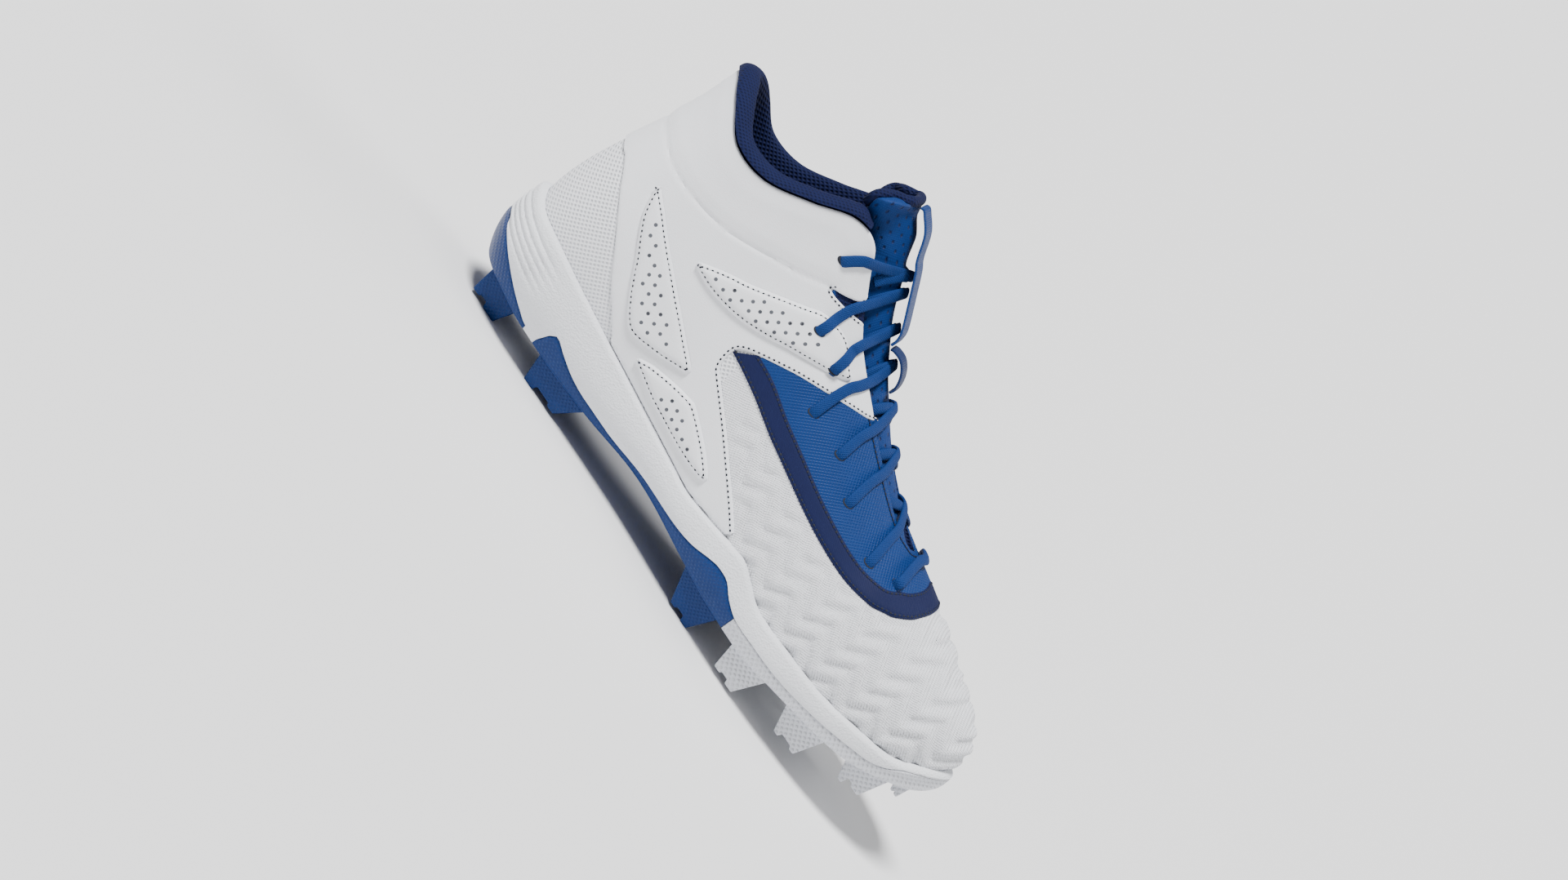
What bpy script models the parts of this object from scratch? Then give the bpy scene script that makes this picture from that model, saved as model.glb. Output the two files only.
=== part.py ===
"""Baseball cleat: a right shoe with a mid-height collar and moulded studs, standing empty on its studs.

Metres, +Z up, +X towards the toe, +Y towards the inner (medial) side, -Y the outer (lateral) side.
The origin is on the ground under the middle of the shoe. Sections run from row 0 at the back of the heel
to the last row at the tip of the toe, and each has an outer and an inner half. A place on the upper is a
row and a reach: reach 0 is the wall's lower edge, reach 1 the collar, the throat or the ridge over the toes.
"""

import math

import bmesh
import bpy
import numpy as np
from mathutils import Vector

# Driving sizes
LENGTH = 0.302
BALL_WIDTH = 0.101
HEEL_HEIGHT = 0.137
STUD_HEIGHT = 0.0135
TOE_TURN = 0.007
WALL = 0.0024
COLLAR_PAD = 0.0056
COLLAR_ROLL = 0.0045
ROLL_SEAT = 0.0011
TONGUE_THICKNESS = 0.0045
INSOLE_THICKNESS = 0.004
PANEL_THICKNESS = 0.0009
PAD_RISE = 0.0024
RIM_THICKNESS = 0.0032
PLATE_THICKNESS = 0.0032
WRAP_THICKNESS = 0.0028
STUD_ROOT_WIDTH = 0.015
STUD_TIP_WIDTH = 0.0075
RIB_DEPTH = 0.0009
LACE_WIDTH = 0.005
LACE_THICKNESS = 0.0015
STRAP_WIDTH = 0.014
STRAP_THICKNESS = 0.0014
BINDING_RADIUS = 0.0024
GAP = 0.0003
SEAT = 0.0004
BAND_SEAT = 0.0006
MERGE = 0.00001

OUTER, INNER = -1, 1
BOTH_SIDES = ((OUTER, "outer"), (INNER, "inner"))

# The upper's sections. foot: the wall's lower edge, on the footbed. top: the collar, throat or ridge
# line. x is a share of LENGTH, y and the bulges of BALL_WIDTH, z of HEEL_HEIGHT, a rise of the section's
# own height.
SECTION_COLUMNS = ("foot_x", "outer_y", "inner_y", "top_x", "top_half", "top_z",
                   "low_bulge", "low_rise", "high_bulge", "high_rise")
SECTIONS = (
    (-0.462, 0.000, 0.000, -0.472, 0.000, 0.957, 0.235, 0.27, -0.070, 0.72),
    (-0.448, -0.145, 0.145, -0.461, 0.108, 0.953, 0.228, 0.27, -0.067, 0.72),
    (-0.422, -0.228, 0.222, -0.432, 0.212, 0.914, 0.205, 0.28, -0.055, 0.72),
    (-0.378, -0.274, 0.260, -0.384, 0.276, 0.857, 0.165, 0.30, -0.045, 0.72),
    (-0.316, -0.288, 0.266, -0.325, 0.293, 0.868, 0.130, 0.31, -0.040, 0.72),
    (-0.242, -0.293, 0.252, -0.265, 0.285, 0.947, 0.110, 0.32, -0.025, 0.72),
    (-0.176, -0.302, 0.240, -0.212, 0.252, 1.029, 0.100, 0.33, -0.010, 0.72),
    (-0.113, -0.316, 0.240, -0.168, 0.218, 1.029, 0.100, 0.33, 0.020, 0.74),
    (-0.053, -0.337, 0.252, -0.129, 0.188, 0.945, 0.100, 0.35, 0.060, 0.80),
    (0.013, -0.372, 0.292, -0.070, 0.160, 0.826, 0.095, 0.38, 0.110, 0.85),
    (0.080, -0.405, 0.342, 0.007, 0.139, 0.736, 0.090, 0.42, 0.150, 0.88),
    (0.146, -0.425, 0.388, 0.089, 0.124, 0.653, 0.085, 0.45, 0.170, 0.90),
    (0.205, -0.432, 0.412, 0.162, 0.100, 0.587, 0.085, 0.48, 0.190, 0.93),
    (0.255, -0.424, 0.420, 0.203, 0.060, 0.565, 0.085, 0.50, 0.220, 0.97),
    (0.295, -0.403, 0.412, 0.219, 0.000, 0.563, 0.085, 0.50, 0.250, 1.00),
    (0.334, -0.375, 0.397, 0.262, 0.000, 0.543, 0.085, 0.50, 0.225, 1.00),
    (0.373, -0.335, 0.374, 0.305, 0.000, 0.520, 0.085, 0.50, 0.200, 1.00),
    (0.408, -0.283, 0.340, 0.347, 0.000, 0.495, 0.090, 0.50, 0.180, 1.00),
    (0.438, -0.212, 0.288, 0.385, 0.000, 0.469, 0.105, 0.50, 0.165, 0.98),
    (0.461, -0.110, 0.205, 0.414, 0.000, 0.447, 0.135, 0.50, 0.160, 0.96),
    (0.471, 0.050, 0.050, 0.430, 0.000, 0.434, 0.158, 0.50, 0.168, 0.94),
)
THROAT_END_ROW = 14
LAST_ROW = len(SECTIONS) - 1
ROUND = 2 * LAST_ROW
# The rows and reaches where the wall is cut into facets, closer together where it turns faster.
ROWS = (0, 0.5, 1, 1.5, 2, 2.5, 3, 4, 5, 6, 6.5, 7, 8, 9, 10, 11, 12, 13, 13.5, 14, 14.5, 15, 16, 17,
        18, 18.5, 19, 19.5, 20)
SOLE_ROWS = (0, 0.5, 1, 1.5, 2, 2.5, 3, 3.5, 4, 4.5, 5, 6, 7, 8, 8.5, 9, 9.5, 10, 10.5, 11,
             12, 13, 14, 15, 16, 16.5, 17, 17.5, 18, 18.5, 19, 19.5, 20)
REACHES = (0.0, 0.07, 0.16, 0.28, 0.42, 0.57, 0.72, 0.87, 1.0)
CUP_REACHES = REACHES[:5]

# Height lines along the shoe: x is a share of LENGTH, z a share of HEEL_HEIGHT above the studs' roots.
BED_LINE = ((-0.50, 0.121), (-0.33, 0.112), (-0.17, 0.099), (0.00, 0.086), (0.13, 0.077), (0.23, 0.081),
            (0.33, 0.108), (0.40, 0.139), (0.46, 0.176), (0.50, 0.204))
RIM_LINE = ((-0.495, 0.272), (-0.483, 0.258), (-0.467, 0.247), (-0.434, 0.244), (-0.400, 0.238),
            (-0.334, 0.218), (-0.268, 0.199), (-0.169, 0.174), (-0.070, 0.153), (-0.036, 0.147),
            (-0.003, 0.156), (0.063, 0.181), (0.086, 0.188), (0.113, 0.172), (0.146, 0.145),
            (0.169, 0.138), (0.228, 0.143), (0.295, 0.148), (0.328, 0.155), (0.361, 0.167),
            (0.394, 0.178), (0.427, 0.188), (0.448, 0.200), (0.464, 0.220), (0.480, 0.244),
            (0.498, 0.268))
BAND_LINE = ((-0.490, 0.135), (-0.483, 0.133), (-0.467, 0.113), (-0.434, 0.077), (-0.400, 0.043),
             (-0.368, 0.018), (-0.349, 0.006), (-0.323, 0.012), (-0.318, 0.046), (-0.313, 0.070),
             (-0.306, 0.077), (-0.285, 0.062), (-0.252, 0.041), (-0.218, 0.033), (-0.169, 0.033),
             (-0.086, 0.052), (-0.003, 0.063), (0.030, 0.077), (0.063, 0.105), (0.079, 0.114),
             (0.093, 0.114), (0.122, 0.085), (0.146, 0.067), (0.195, 0.066), (0.262, 0.072),
             (0.328, 0.093), (0.361, 0.108), (0.394, 0.124), (0.420, 0.138), (0.440, 0.160),
             (0.454, 0.187), (0.464, 0.208), (0.480, 0.233), (0.498, 0.258))
PLATE_LINE = ((-0.500, 0.004), (-0.434, 0.004), (-0.360, -0.006), (-0.300, -0.006), (-0.200, 0.004),
              (-0.103, 0.030), (-0.070, 0.032), (0.030, 0.022), (0.142, 0.011), (0.200, 0.014),
              (0.260, 0.033), (0.328, 0.051), (0.378, 0.066), (0.410, 0.081), (0.444, 0.106),
              (0.474, 0.135), (0.498, 0.162))
# How far the sole's bottom edge is drawn in under its rim, as a share of BALL_WIDTH.
TUCK_LINE = ((-0.50, 0.090), (-0.40, 0.080), (-0.30, 0.055), (-0.10, 0.060), (0.10, 0.040), (0.30, 0.040),
             (0.42, 0.030), (0.50, 0.022))
SIDE_SWELL = 0.010
SIDE_POWER = 3.0
SIDE_STEPS = (0.97, 0.66, 0.30, 0.0)
WRAP_STEPS = (1.0, 0.5, 0.18, 0.0)
ACROSS = 2

# The outsole's pieces, from and to as shares of LENGTH. A bare land of midsole parts the heel from the
# middle.
HEEL_PIECE_END = -0.348
MID_PIECE_START = -0.323
MID_PIECE_END = 0.1465
NOTCH = (-0.346, -0.335, 0.051)
LAND_STEP = 0.0002
STEEP_BAND = (-0.3145, -0.306)


def height(share):
    """A height above the ground from a share of HEEL_HEIGHT above the studs' roots."""
    return STUD_HEIGHT + np.asarray(share) * HEEL_HEIGHT


def along(line, x):
    """A height line read at x, through its points with a smooth curve that doesn't overshoot."""
    xs = np.array([point[0] for point in line])
    ys = np.array([point[1] for point in line])
    rise = np.diff(ys) / np.diff(xs)
    slopes = np.concatenate([rise[:1], (rise[:-1] + rise[1:]) / 2, rise[-1:]])
    slopes[1:-1][rise[:-1] * rise[1:] <= 0] = 0.0
    x = np.clip(np.asarray(x, float), xs[0], xs[-1])
    i = np.clip(np.searchsorted(xs, x, side="right") - 1, 0, len(xs) - 2)
    width = xs[i + 1] - xs[i]
    t = (x - xs[i]) / width
    a, b = 2 * t**3 - 3 * t**2 + 1, -2 * t**3 + 3 * t**2
    c, d = t**3 - 2 * t**2 + t, t**3 - t**2
    return a * ys[i] + b * ys[i + 1] + c * width * slopes[i] + d * width * slopes[i + 1]


def centre_y(x):
    """The middle line of the forefoot turns towards the big toe."""
    return TOE_TURN * np.clip(np.asarray(x, float) / (LENGTH / 2), 0, 1) ** 1.5


def section_points():
    """The four control points of each section's curve, round the shoe: outer half, then inner half back."""
    table = {name: np.array([row[i] for row in SECTIONS]) for i, name in enumerate(SECTION_COLUMNS)}
    rows = list(range(LAST_ROW + 1)) + list(range(LAST_ROW - 1, 0, -1))
    side = np.array([OUTER] * (LAST_ROW + 1) + [INNER] * (LAST_ROW - 1))
    pick = {name: values[rows] for name, values in table.items()}
    foot_y = np.where(side == OUTER, pick["outer_y"], pick["inner_y"]) * BALL_WIDTH
    foot = np.stack([pick["foot_x"] * LENGTH, foot_y, height(along(BED_LINE, pick["foot_x"]))], 1)
    top_x = pick["top_x"] * LENGTH
    top = np.stack([top_x, centre_y(top_x) + side * pick["top_half"] * BALL_WIDTH, height(pick["top_z"])], 1)
    tangent = np.roll(foot, -1, 0) - np.roll(foot, 1, 0)
    outward = np.stack([tangent[:, 1], -tangent[:, 0], np.zeros(len(foot))], 1)
    outward /= np.linalg.norm(outward, axis=1)[:, None]
    tall = (top[:, 2] - foot[:, 2])[:, None] * np.array([0.0, 0.0, 1.0])
    low = foot + outward * (pick["low_bulge"] * BALL_WIDTH)[:, None] + tall * pick["low_rise"][:, None]
    fall = tall * (1 - pick["high_rise"])[:, None]
    high = top + outward * (pick["high_bulge"] * BALL_WIDTH)[:, None] - fall
    return np.stack([foot, low, high, top], 1), outward


CONTROL, OUTWARD = section_points()


def through(values, u):
    """Values given at each section, read at any row with a smooth curve round the shoe."""
    i = np.floor(u).astype(int)
    f = (u - i).reshape(u.shape + (1,) * (values.ndim - 1))
    p0, p1, p2, p3 = (values[(i + j) % ROUND] for j in (-1, 0, 1, 2))
    return p1 + 0.5 * f * (p2 - p0 + f * (2 * p0 - 5 * p1 + 4 * p2 - p3 + f * (3 * (p1 - p2) + p3 - p0)))


def upper_point(row, reach):
    """The upper's outer face. Rows beyond LAST_ROW come back along the inner side."""
    u, t = np.broadcast_arrays(np.asarray(row, float), np.asarray(reach, float))
    c = through(CONTROL, u)
    over_toes = (u % ROUND > THROAT_END_ROW) & (u % ROUND < ROUND - THROAT_END_ROW)
    c[..., 3, 1] = np.where(over_toes, centre_y(c[..., 3, 0]), c[..., 3, 1])
    t = t[..., None]
    s = 1 - t
    shares = (s**3, 3 * s**2 * t, 3 * s * t**2, t**3)
    return sum(share * c[..., i, :] for i, share in enumerate(shares))


def unit(vectors):
    return vectors / np.linalg.norm(vectors, axis=-1)[..., None]


def upper_normal(row, reach):
    """The outward direction of the upper's face; both halves share it along the ridge over the toes."""
    u, t = np.broadcast_arrays(np.asarray(row, float), np.asarray(reach, float))

    def raw(u):
        t_in = np.clip(t, 0.01, 0.985)
        around = upper_point(u + 0.02, t_in) - upper_point(u - 0.02, t_in)
        upward = upper_point(u, t_in + 0.005) - upper_point(u, t_in - 0.005)
        return unit(np.cross(around, upward))

    over_toes = (u % ROUND > THROAT_END_ROW - 0.01) & (u % ROUND < ROUND - THROAT_END_ROW + 0.01)
    share = np.clip((t - 0.88) / 0.12, 0, 1)[..., None] * over_toes[..., None] / 2
    return unit(raw(u) * (1 - share) + raw(ROUND - u) * share)


def off_upper(row, reach, offset):
    """A point at a distance outside the upper's face, or inside it where the offset is negative."""
    return upper_point(row, reach) + upper_normal(row, reach) * np.asarray(offset)[..., None]


def place_on_upper(x, z, side):
    """The row and reach that lie at x and z in the side view, shares of LENGTH and HEEL_HEIGHT."""
    rows, reaches = np.meshgrid(np.linspace(0.2, 15, 149), np.linspace(0, 1, 81), indexing="ij")
    seen = upper_point(rows, reaches)
    places = []
    for target_x, target_z in zip(np.ravel(x) * LENGTH, height(np.ravel(z))):
        nearest = np.argmin((seen[..., 0] - target_x) ** 2 + (seen[..., 2] - target_z) ** 2)
        place = np.array([rows.flat[nearest], reaches.flat[nearest]])
        for _ in range(3):
            here = upper_point(*place)
            step = 0.01
            d_row = (upper_point(place[0] + step, place[1]) - here) / step
            d_reach = (upper_point(place[0], place[1] + step) - here) / step
            slope = np.array([[d_row[0], d_reach[0]], [d_row[2], d_reach[2]]])
            place = place + np.linalg.solve(slope, [target_x - here[0], target_z - here[2]])
        places.append(place)
    places = np.array(places).reshape(np.shape(x) + (2,))
    row = places[..., 0] if side == OUTER else ROUND - places[..., 0]
    return row, np.clip(places[..., 1], 0, 1)


# The blender side: collections, materials and mesh helpers

def clear_scene():
    for obj in list(bpy.data.objects):
        bpy.data.objects.remove(obj, do_unlink=True)


def collection(name):
    made = bpy.data.collections.new(name)
    bpy.context.scene.collection.children.link(made)
    return made


clear_scene()
PARTS = collection("baseball_cleat")
CUTTERS = collection("cutters")


def material(name, colour, roughness):
    made = bpy.data.materials.new(name)
    made.use_nodes = True
    shader = made.node_tree.nodes["Principled BSDF"]
    shader.inputs["Base Color"].default_value = (*colour, 1)
    shader.inputs["Roughness"].default_value = roughness
    return made


WHITE, SHADED_WHITE = (0.80, 0.81, 0.83), (0.74, 0.75, 0.78)
ROYAL_BLUE, NAVY = (0.010, 0.065, 0.27), (0.016, 0.024, 0.11)


def add_object(name, bm, colour=None, roughness=0.6, smooth=40):
    """An object from a bmesh: a part with its own material, or a cutter where no colour is given."""
    bmesh.ops.remove_doubles(bm, verts=bm.verts, dist=MERGE)
    bmesh.ops.dissolve_degenerate(bm, edges=bm.edges, dist=MERGE)
    bmesh.ops.recalc_face_normals(bm, faces=bm.faces)
    if not any(edge.is_boundary for edge in bm.edges) and bm.calc_volume(signed=True) < 0:
        bmesh.ops.reverse_faces(bm, faces=bm.faces)
    mesh = bpy.data.meshes.new(name)
    bm.to_mesh(mesh)
    bm.free()
    obj = bpy.data.objects.new(name, mesh)
    if colour is None:
        CUTTERS.objects.link(obj)
        obj.hide_render = True
        obj.display_type = "WIRE"
        return obj
    PARTS.objects.link(obj)
    mesh.materials.append(material(name, colour, roughness))
    mesh.shade_smooth()
    mesh.set_sharp_from_angle(angle=math.radians(smooth))
    return obj


def combine(obj, other, operation):
    made = obj.modifiers.new(operation.lower() + "_" + other.name, "BOOLEAN")
    made.operation = operation
    made.object = other
    made.solver = "EXACT"


def sheet(grid, bm=None):
    """Faces over a grid of points."""
    bm = bm or bmesh.new()
    verts = [[bm.verts.new(point) for point in line] for line in grid]
    for line, following in zip(verts, verts[1:]):
        for a, b, c, d in zip(line, line[1:], following[1:], following):
            bm.faces.new((a, d, c, b))
    return bm


def thicken(obj, thickness):
    """Grows a surface outwards into a wall, or inwards where the thickness is negative."""
    wall = obj.modifiers.new("wall", "SOLIDIFY")
    wall.thickness = abs(thickness)
    wall.offset = 1 if thickness > 0 else -1
    wall.use_even_offset = True


def loft(sections, closed_ends=(True, True)):
    """A closed solid through rings of points. An end that folds onto itself needs no cap."""
    bm = bmesh.new()
    rings = [[bm.verts.new(point) for point in ring] for ring in sections]
    for ring, following in zip(rings, rings[1:]):
        for i in range(len(ring)):
            j = (i + 1) % len(ring)
            bm.faces.new((ring[i], ring[j], following[j], following[i]))
    for ring, closed in zip((rings[0], rings[-1]), closed_ends):
        if closed:
            bm.faces.new(ring)
    return bm


def triangulated(bm, quads="BEAUTY"):
    """Walls that lie on each other are cut along the same diagonals, with FIXED."""
    bm.normal_update()
    bmesh.ops.triangulate(bm, faces=bm.faces, quad_method=quads, ngon_method="EAR_CLIP")
    return bm


def prism(name, outline, grow=0.0):
    """A cutter: a side-view outline, in shares, drawn right across the shoe and grown by a distance."""
    points = np.array([(x * LENGTH, height(z)) for x, z in outline])
    if grow:
        edges = np.roll(points, -1, 0) - points
        normals = unit(np.stack([edges[:, 1], -edges[:, 0]], 1))
        area = np.sum(points[:, 0] * np.roll(points[:, 1], -1) - np.roll(points[:, 0], -1) * points[:, 1])
        normals *= np.sign(area)
        corner = unit(normals + np.roll(normals, 1, 0))
        points = points + corner * grow / np.clip(np.sum(corner * normals, 1), 0.5, 1)[:, None]
    rings = [[(x, side * BALL_WIDTH, z) for x, z in points] for side in (OUTER, INNER)]
    return add_object(name, triangulated(loft(rings)))


# Upper

def rows_within(last):
    """The rows from one half, through the heel, to the same row of the other half."""
    half = [row for row in ROWS if 0 < row < last] + [last]
    return [-row for row in half[::-1]] + [0] + half


def wall_grid(rows, reaches, offset):
    return off_upper(np.asarray(rows)[:, None], np.asarray(reaches)[None, :], offset)


def make_upper():
    """One hollow wall, open at the collar and throat and underneath. The inner half welds to the outer."""
    grid = wall_grid(ROWS + tuple(ROUND - row for row in ROWS[-2::-1]), REACHES, 0.0)
    upper = add_object("upper", triangulated(sheet(grid), "FIXED"), WHITE, 0.75)
    thicken(upper, -WALL)
    return upper


# The white overlay of heel, ankle and quarter in side view, x and z shares, heel end first. Below, it
# follows the rim.
QUARTER_REAR = ((-0.520, 0.600), (-0.481, 0.570), (-0.464, 0.543), (-0.448, 0.524), (-0.424, 0.483),
                (-0.391, 0.428), (-0.358, 0.369), (-0.327, 0.309), (-0.295, 0.261), (-0.266, 0.215))
QUARTER_FRONT = ((0.055, 0.200), (0.029, 0.235), (-0.003, 0.274), (-0.068, 0.350), (-0.133, 0.422),
                 (-0.147, 0.441), (-0.153, 0.471), (-0.155, 0.506), (-0.149, 0.528), (-0.133, 0.553),
                 (-0.100, 0.595), (-0.068, 0.630), (-0.008, 0.680), (0.023, 0.700), (0.033, 0.712),
                 (0.020, 0.780), (-0.078, 0.880))
FINGER_SLOT = ((-0.093, 0.857), (-0.112, 0.849), (-0.139, 0.843), (-0.150, 0.848), (-0.131, 0.868),
               (-0.112, 0.892), (-0.100, 0.915))
QUARTER_TOP = ((-0.100, 1.150), (-0.520, 1.150))
RIM_MARGIN = 0.009
QUARTER_ROWS = 14


def quarter_outline(slot=FINGER_SLOT):
    along_rim = [(x, float(along(RIM_LINE, x)) + RIM_MARGIN) for x in np.linspace(-0.255, 0.045, 9)]
    return QUARTER_REAR + tuple(along_rim) + QUARTER_FRONT + slot + QUARTER_TOP


def make_quarter():
    """The overlay is cut from a larger wall that follows the upper, and wraps the heel in one piece."""
    grid = wall_grid(rows_within(QUARTER_ROWS), REACHES, SEAT)
    quarter = add_object("quarter", triangulated(sheet(grid), "FIXED"), WHITE, 0.5)
    thicken(quarter, PANEL_THICKNESS)
    combine(quarter, prism("quarter_outline", quarter_outline()), "INTERSECT")
    return quarter


# Edges of the vamp's trim band on the outer half: row and reach. The inner half has the same.
TRIM_OUTER_EDGE = ((6.60, 0.410), (7.35, 0.405), (8.28, 0.408), (9.28, 0.420), (10.18, 0.427),
                   (11.08, 0.445), (12.08, 0.478), (12.75, 0.497), (13.70, 0.522), (14.23, 0.552),
                   (14.78, 0.633), (15.10, 0.705), (15.45, 0.807), (15.68, 0.905), (15.85, 1.000))
TRIM_INNER_EDGE = ((7.20, 0.475), (7.65, 0.482), (8.45, 0.497), (9.45, 0.515), (10.33, 0.527),
                   (11.20, 0.552), (12.00, 0.583), (12.60, 0.604), (13.20, 0.625), (13.65, 0.645),
                   (14.10, 0.685), (14.40, 0.735), (14.70, 0.820), (14.87, 0.912), (14.95, 1.000))
THROAT_EDGE = ((8.00, 1.0), (8.50, 1.0), (9.10, 1.0), (9.80, 1.0), (10.50, 1.0), (11.20, 1.0),
               (11.90, 1.0), (12.50, 1.0), (13.00, 1.0), (13.45, 1.0), (13.90, 1.0), (14.25, 1.0),
               (14.55, 1.0), (14.80, 1.0), (14.89, 1.0))
BUTT_REACH, BUTT_ROW = 0.006, 0.06


def make_band(name, low_edge, high_edge, across, colour):
    """A panel between two edges on the upper, both halves welded where they meet on the ridge."""
    low, high = np.array(low_edge), np.array(high_edge)
    share = np.linspace(0, 1, across + 1)[None, :, None]
    places = low[:, None, :] * (1 - share) + high[:, None, :] * share
    outer = off_upper(places[..., 0], places[..., 1], BAND_SEAT)
    inner = off_upper(ROUND - places[..., 0], places[..., 1], BAND_SEAT)
    bm = sheet(outer)
    sheet(inner[::-1], bm)
    band = add_object(name, triangulated(bm, "FIXED"), colour, 0.6)
    thicken(band, PANEL_THICKNESS)
    combine(band, prism(name + "_clearance", quarter_outline(slot=()), grow=SEAT), "DIFFERENCE")
    return band


def make_vamp_panels():
    panel_edge = tuple((row - BUTT_ROW, min(reach + BUTT_REACH, 1.0)) for row, reach in TRIM_INNER_EDGE)
    make_band("vamp_trim", TRIM_OUTER_EDGE, TRIM_INNER_EDGE, 2, NAVY)
    make_band("vamp_panel", panel_edge, THROAT_EDGE, 4, ROYAL_BLUE)


# Raised pads on the quarter in side view: a row per station from the rear tip, with low_x, low_z, high_x,
# high_z.
PADS = {
    "rear": ((-0.400, 0.590, -0.398, 0.592), (-0.388, 0.530, -0.368, 0.568), (-0.359, 0.459, -0.322, 0.518),
             (-0.322, 0.380, -0.272, 0.467), (-0.283, 0.305, -0.225, 0.424), (-0.250, 0.276, -0.195, 0.394),
             (-0.205, 0.308, -0.172, 0.371), (-0.165, 0.352, -0.164, 0.356)),
    "upper": ((-0.282, 0.556, -0.282, 0.560), (-0.262, 0.547, -0.262, 0.600), (-0.220, 0.554, -0.222, 0.655),
              (-0.180, 0.574, -0.186, 0.706), (-0.140, 0.612, -0.150, 0.760), (-0.100, 0.655, -0.120, 0.792),
              (-0.070, 0.686, -0.085, 0.790), (-0.047, 0.709, -0.052, 0.754), (-0.035, 0.723, -0.035, 0.727)),
    "lower": ((-0.221, 0.238, -0.221, 0.242), (-0.200, 0.226, -0.204, 0.273), (-0.165, 0.212, -0.165, 0.300),
              (-0.120, 0.203, -0.125, 0.316), (-0.085, 0.199, -0.084, 0.286), (-0.055, 0.199, -0.055, 0.258),
              (-0.030, 0.214, -0.030, 0.218)),
}
PAD_SEATS = {"rear": 0.0007, "upper": 0.0012, "lower": 0.0005}
PAD_ACROSS = 3
PAD_EDGE = 0.25


def make_pads():
    """Each pad is a low cushion on the quarter, highest along its middle."""
    for pad, rows in PADS.items():
        low_x, low_z, high_x, high_z = (np.array(column)[:, None] for column in zip(*rows))
        f = np.linspace(0, 1, PAD_ACROSS + 1)[None, :]
        x, z = low_x * (1 - f) + high_x * f, low_z * (1 - f) + high_z * f
        length_share = np.linspace(0, 1, len(rows))[:, None]
        swell = np.sqrt(np.sin(np.pi * f) * np.clip(np.sin(np.pi * length_share), 0, 1))
        rise = PAD_EDGE + (1 - PAD_EDGE) * swell
        seat = SEAT + PANEL_THICKNESS + PAD_SEATS[pad]
        for side, side_name in BOTH_SIDES:
            row, reach = place_on_upper(x, z, side)
            under = off_upper(row, reach, seat)
            over = off_upper(row, reach, seat + PAD_RISE * rise)
            rings = np.concatenate([over, under[:, ::-1]], 1)
            add_object(f"pad_{pad}_{side_name}", triangulated(loft(rings)), WHITE, 0.45)


# The collar's padded lining: reaches on the wall, and its depth there as a share of COLLAR_PAD. The roll
# over the collar's edge: depth as a share of the whole wall's, and rise of COLLAR_ROLL.
LINING_REACHES = (0.50, 0.66, 0.80, 0.92, 1.0)
LINING_SHARES = (0.30, 0.45, 0.75, 0.95, 1.0)
LINING_ROWS = 6.5
ROLL_ARC = ((1.02, 0.40), (0.90, 0.85), (0.55, 1.05), (0.15, 0.95), (-0.20, 0.60), (-0.32, 0.12))


def make_lining():
    """A soft inner wall below a roll that lies over the collar's edge."""
    rings = []
    for row in rows_within(LINING_ROWS):
        back = [off_upper(row, reach, -WALL - SEAT) for reach in LINING_REACHES]
        face = [off_upper(row, reach, -WALL - SEAT - COLLAR_PAD * share)
                for reach, share in zip(LINING_REACHES, LINING_SHARES)]
        top, normal = upper_point(row, 1.0), upper_normal(row, 1.0)
        up = unit(top - upper_point(row, 0.96))
        arc = [top - normal * (WALL + COLLAR_PAD) * depth + up * (ROLL_SEAT + COLLAR_ROLL * rise)
               for depth, rise in ROLL_ARC]
        shoulder = [top - normal * (WALL + SEAT) + up * (ROLL_SEAT + COLLAR_ROLL * ROLL_ARC[-1][1])]
        rings.append(face + arc + shoulder + back[::-1])
    add_object("collar_lining", triangulated(loft(rings)), NAVY, 0.85)


# Tongue, a row per station from its tip: the row and reach of its side edge, how deep the edge lies
# inside the upper as a share of COLLAR_PAD, the row of its middle, a rise above the collar as a share of
# HEEL_HEIGHT, its middle's place over the throat's edge (forward a share of LENGTH, crown of HEEL_HEIGHT)
# and its share of TONGUE_THICKNESS.
TONGUE = (
    (14.60, 0.84, 0.20, 14.60, 0.000, 0.000, -0.036, 0.60),
    (14.00, 0.84, 0.20, 14.00, 0.000, 0.000, -0.030, 0.70),
    (13.00, 0.84, 0.20, 13.00, 0.000, 0.000, -0.012, 0.80),
    (12.00, 0.84, 0.20, 12.00, 0.000, 0.000, 0.006, 0.90),
    (11.00, 0.84, 0.20, 11.00, 0.000, 0.000, 0.020, 1.00),
    (10.00, 0.84, 0.20, 10.00, 0.000, 0.000, 0.047, 1.00),
    (9.00, 0.86, 0.20, 9.00, 0.000, 0.010, 0.070, 1.10),
    (8.00, 0.90, 0.25, 8.00, 0.000, 0.020, 0.070, 1.20),
    (7.00, 0.94, 1.45, 7.20, 0.000, 0.034, 0.035, 1.30),
    (6.30, 0.98, 1.45, 6.60, 0.010, 0.038, 0.080, 1.30),
    (6.00, 1.00, 0.70, 6.30, 0.075, 0.028, 0.120, 1.10),
    (6.20, 1.00, 0.75, 6.40, 0.105, 0.018, 0.138, 0.90),
    (6.45, 1.00, 1.55, 6.50, 0.128, 0.010, 0.146, 0.50),
)
TONGUE_ACROSS = 6
TONGUE_SPAN = 0.55
TONGUE_UNDER = WALL + GAP + LACE_THICKNESS


def tongue_station(place):
    """The tongue's table read between its stations."""
    return tuple(float(np.interp(place, range(len(TONGUE)), column)) for column in zip(*TONGUE))


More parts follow.
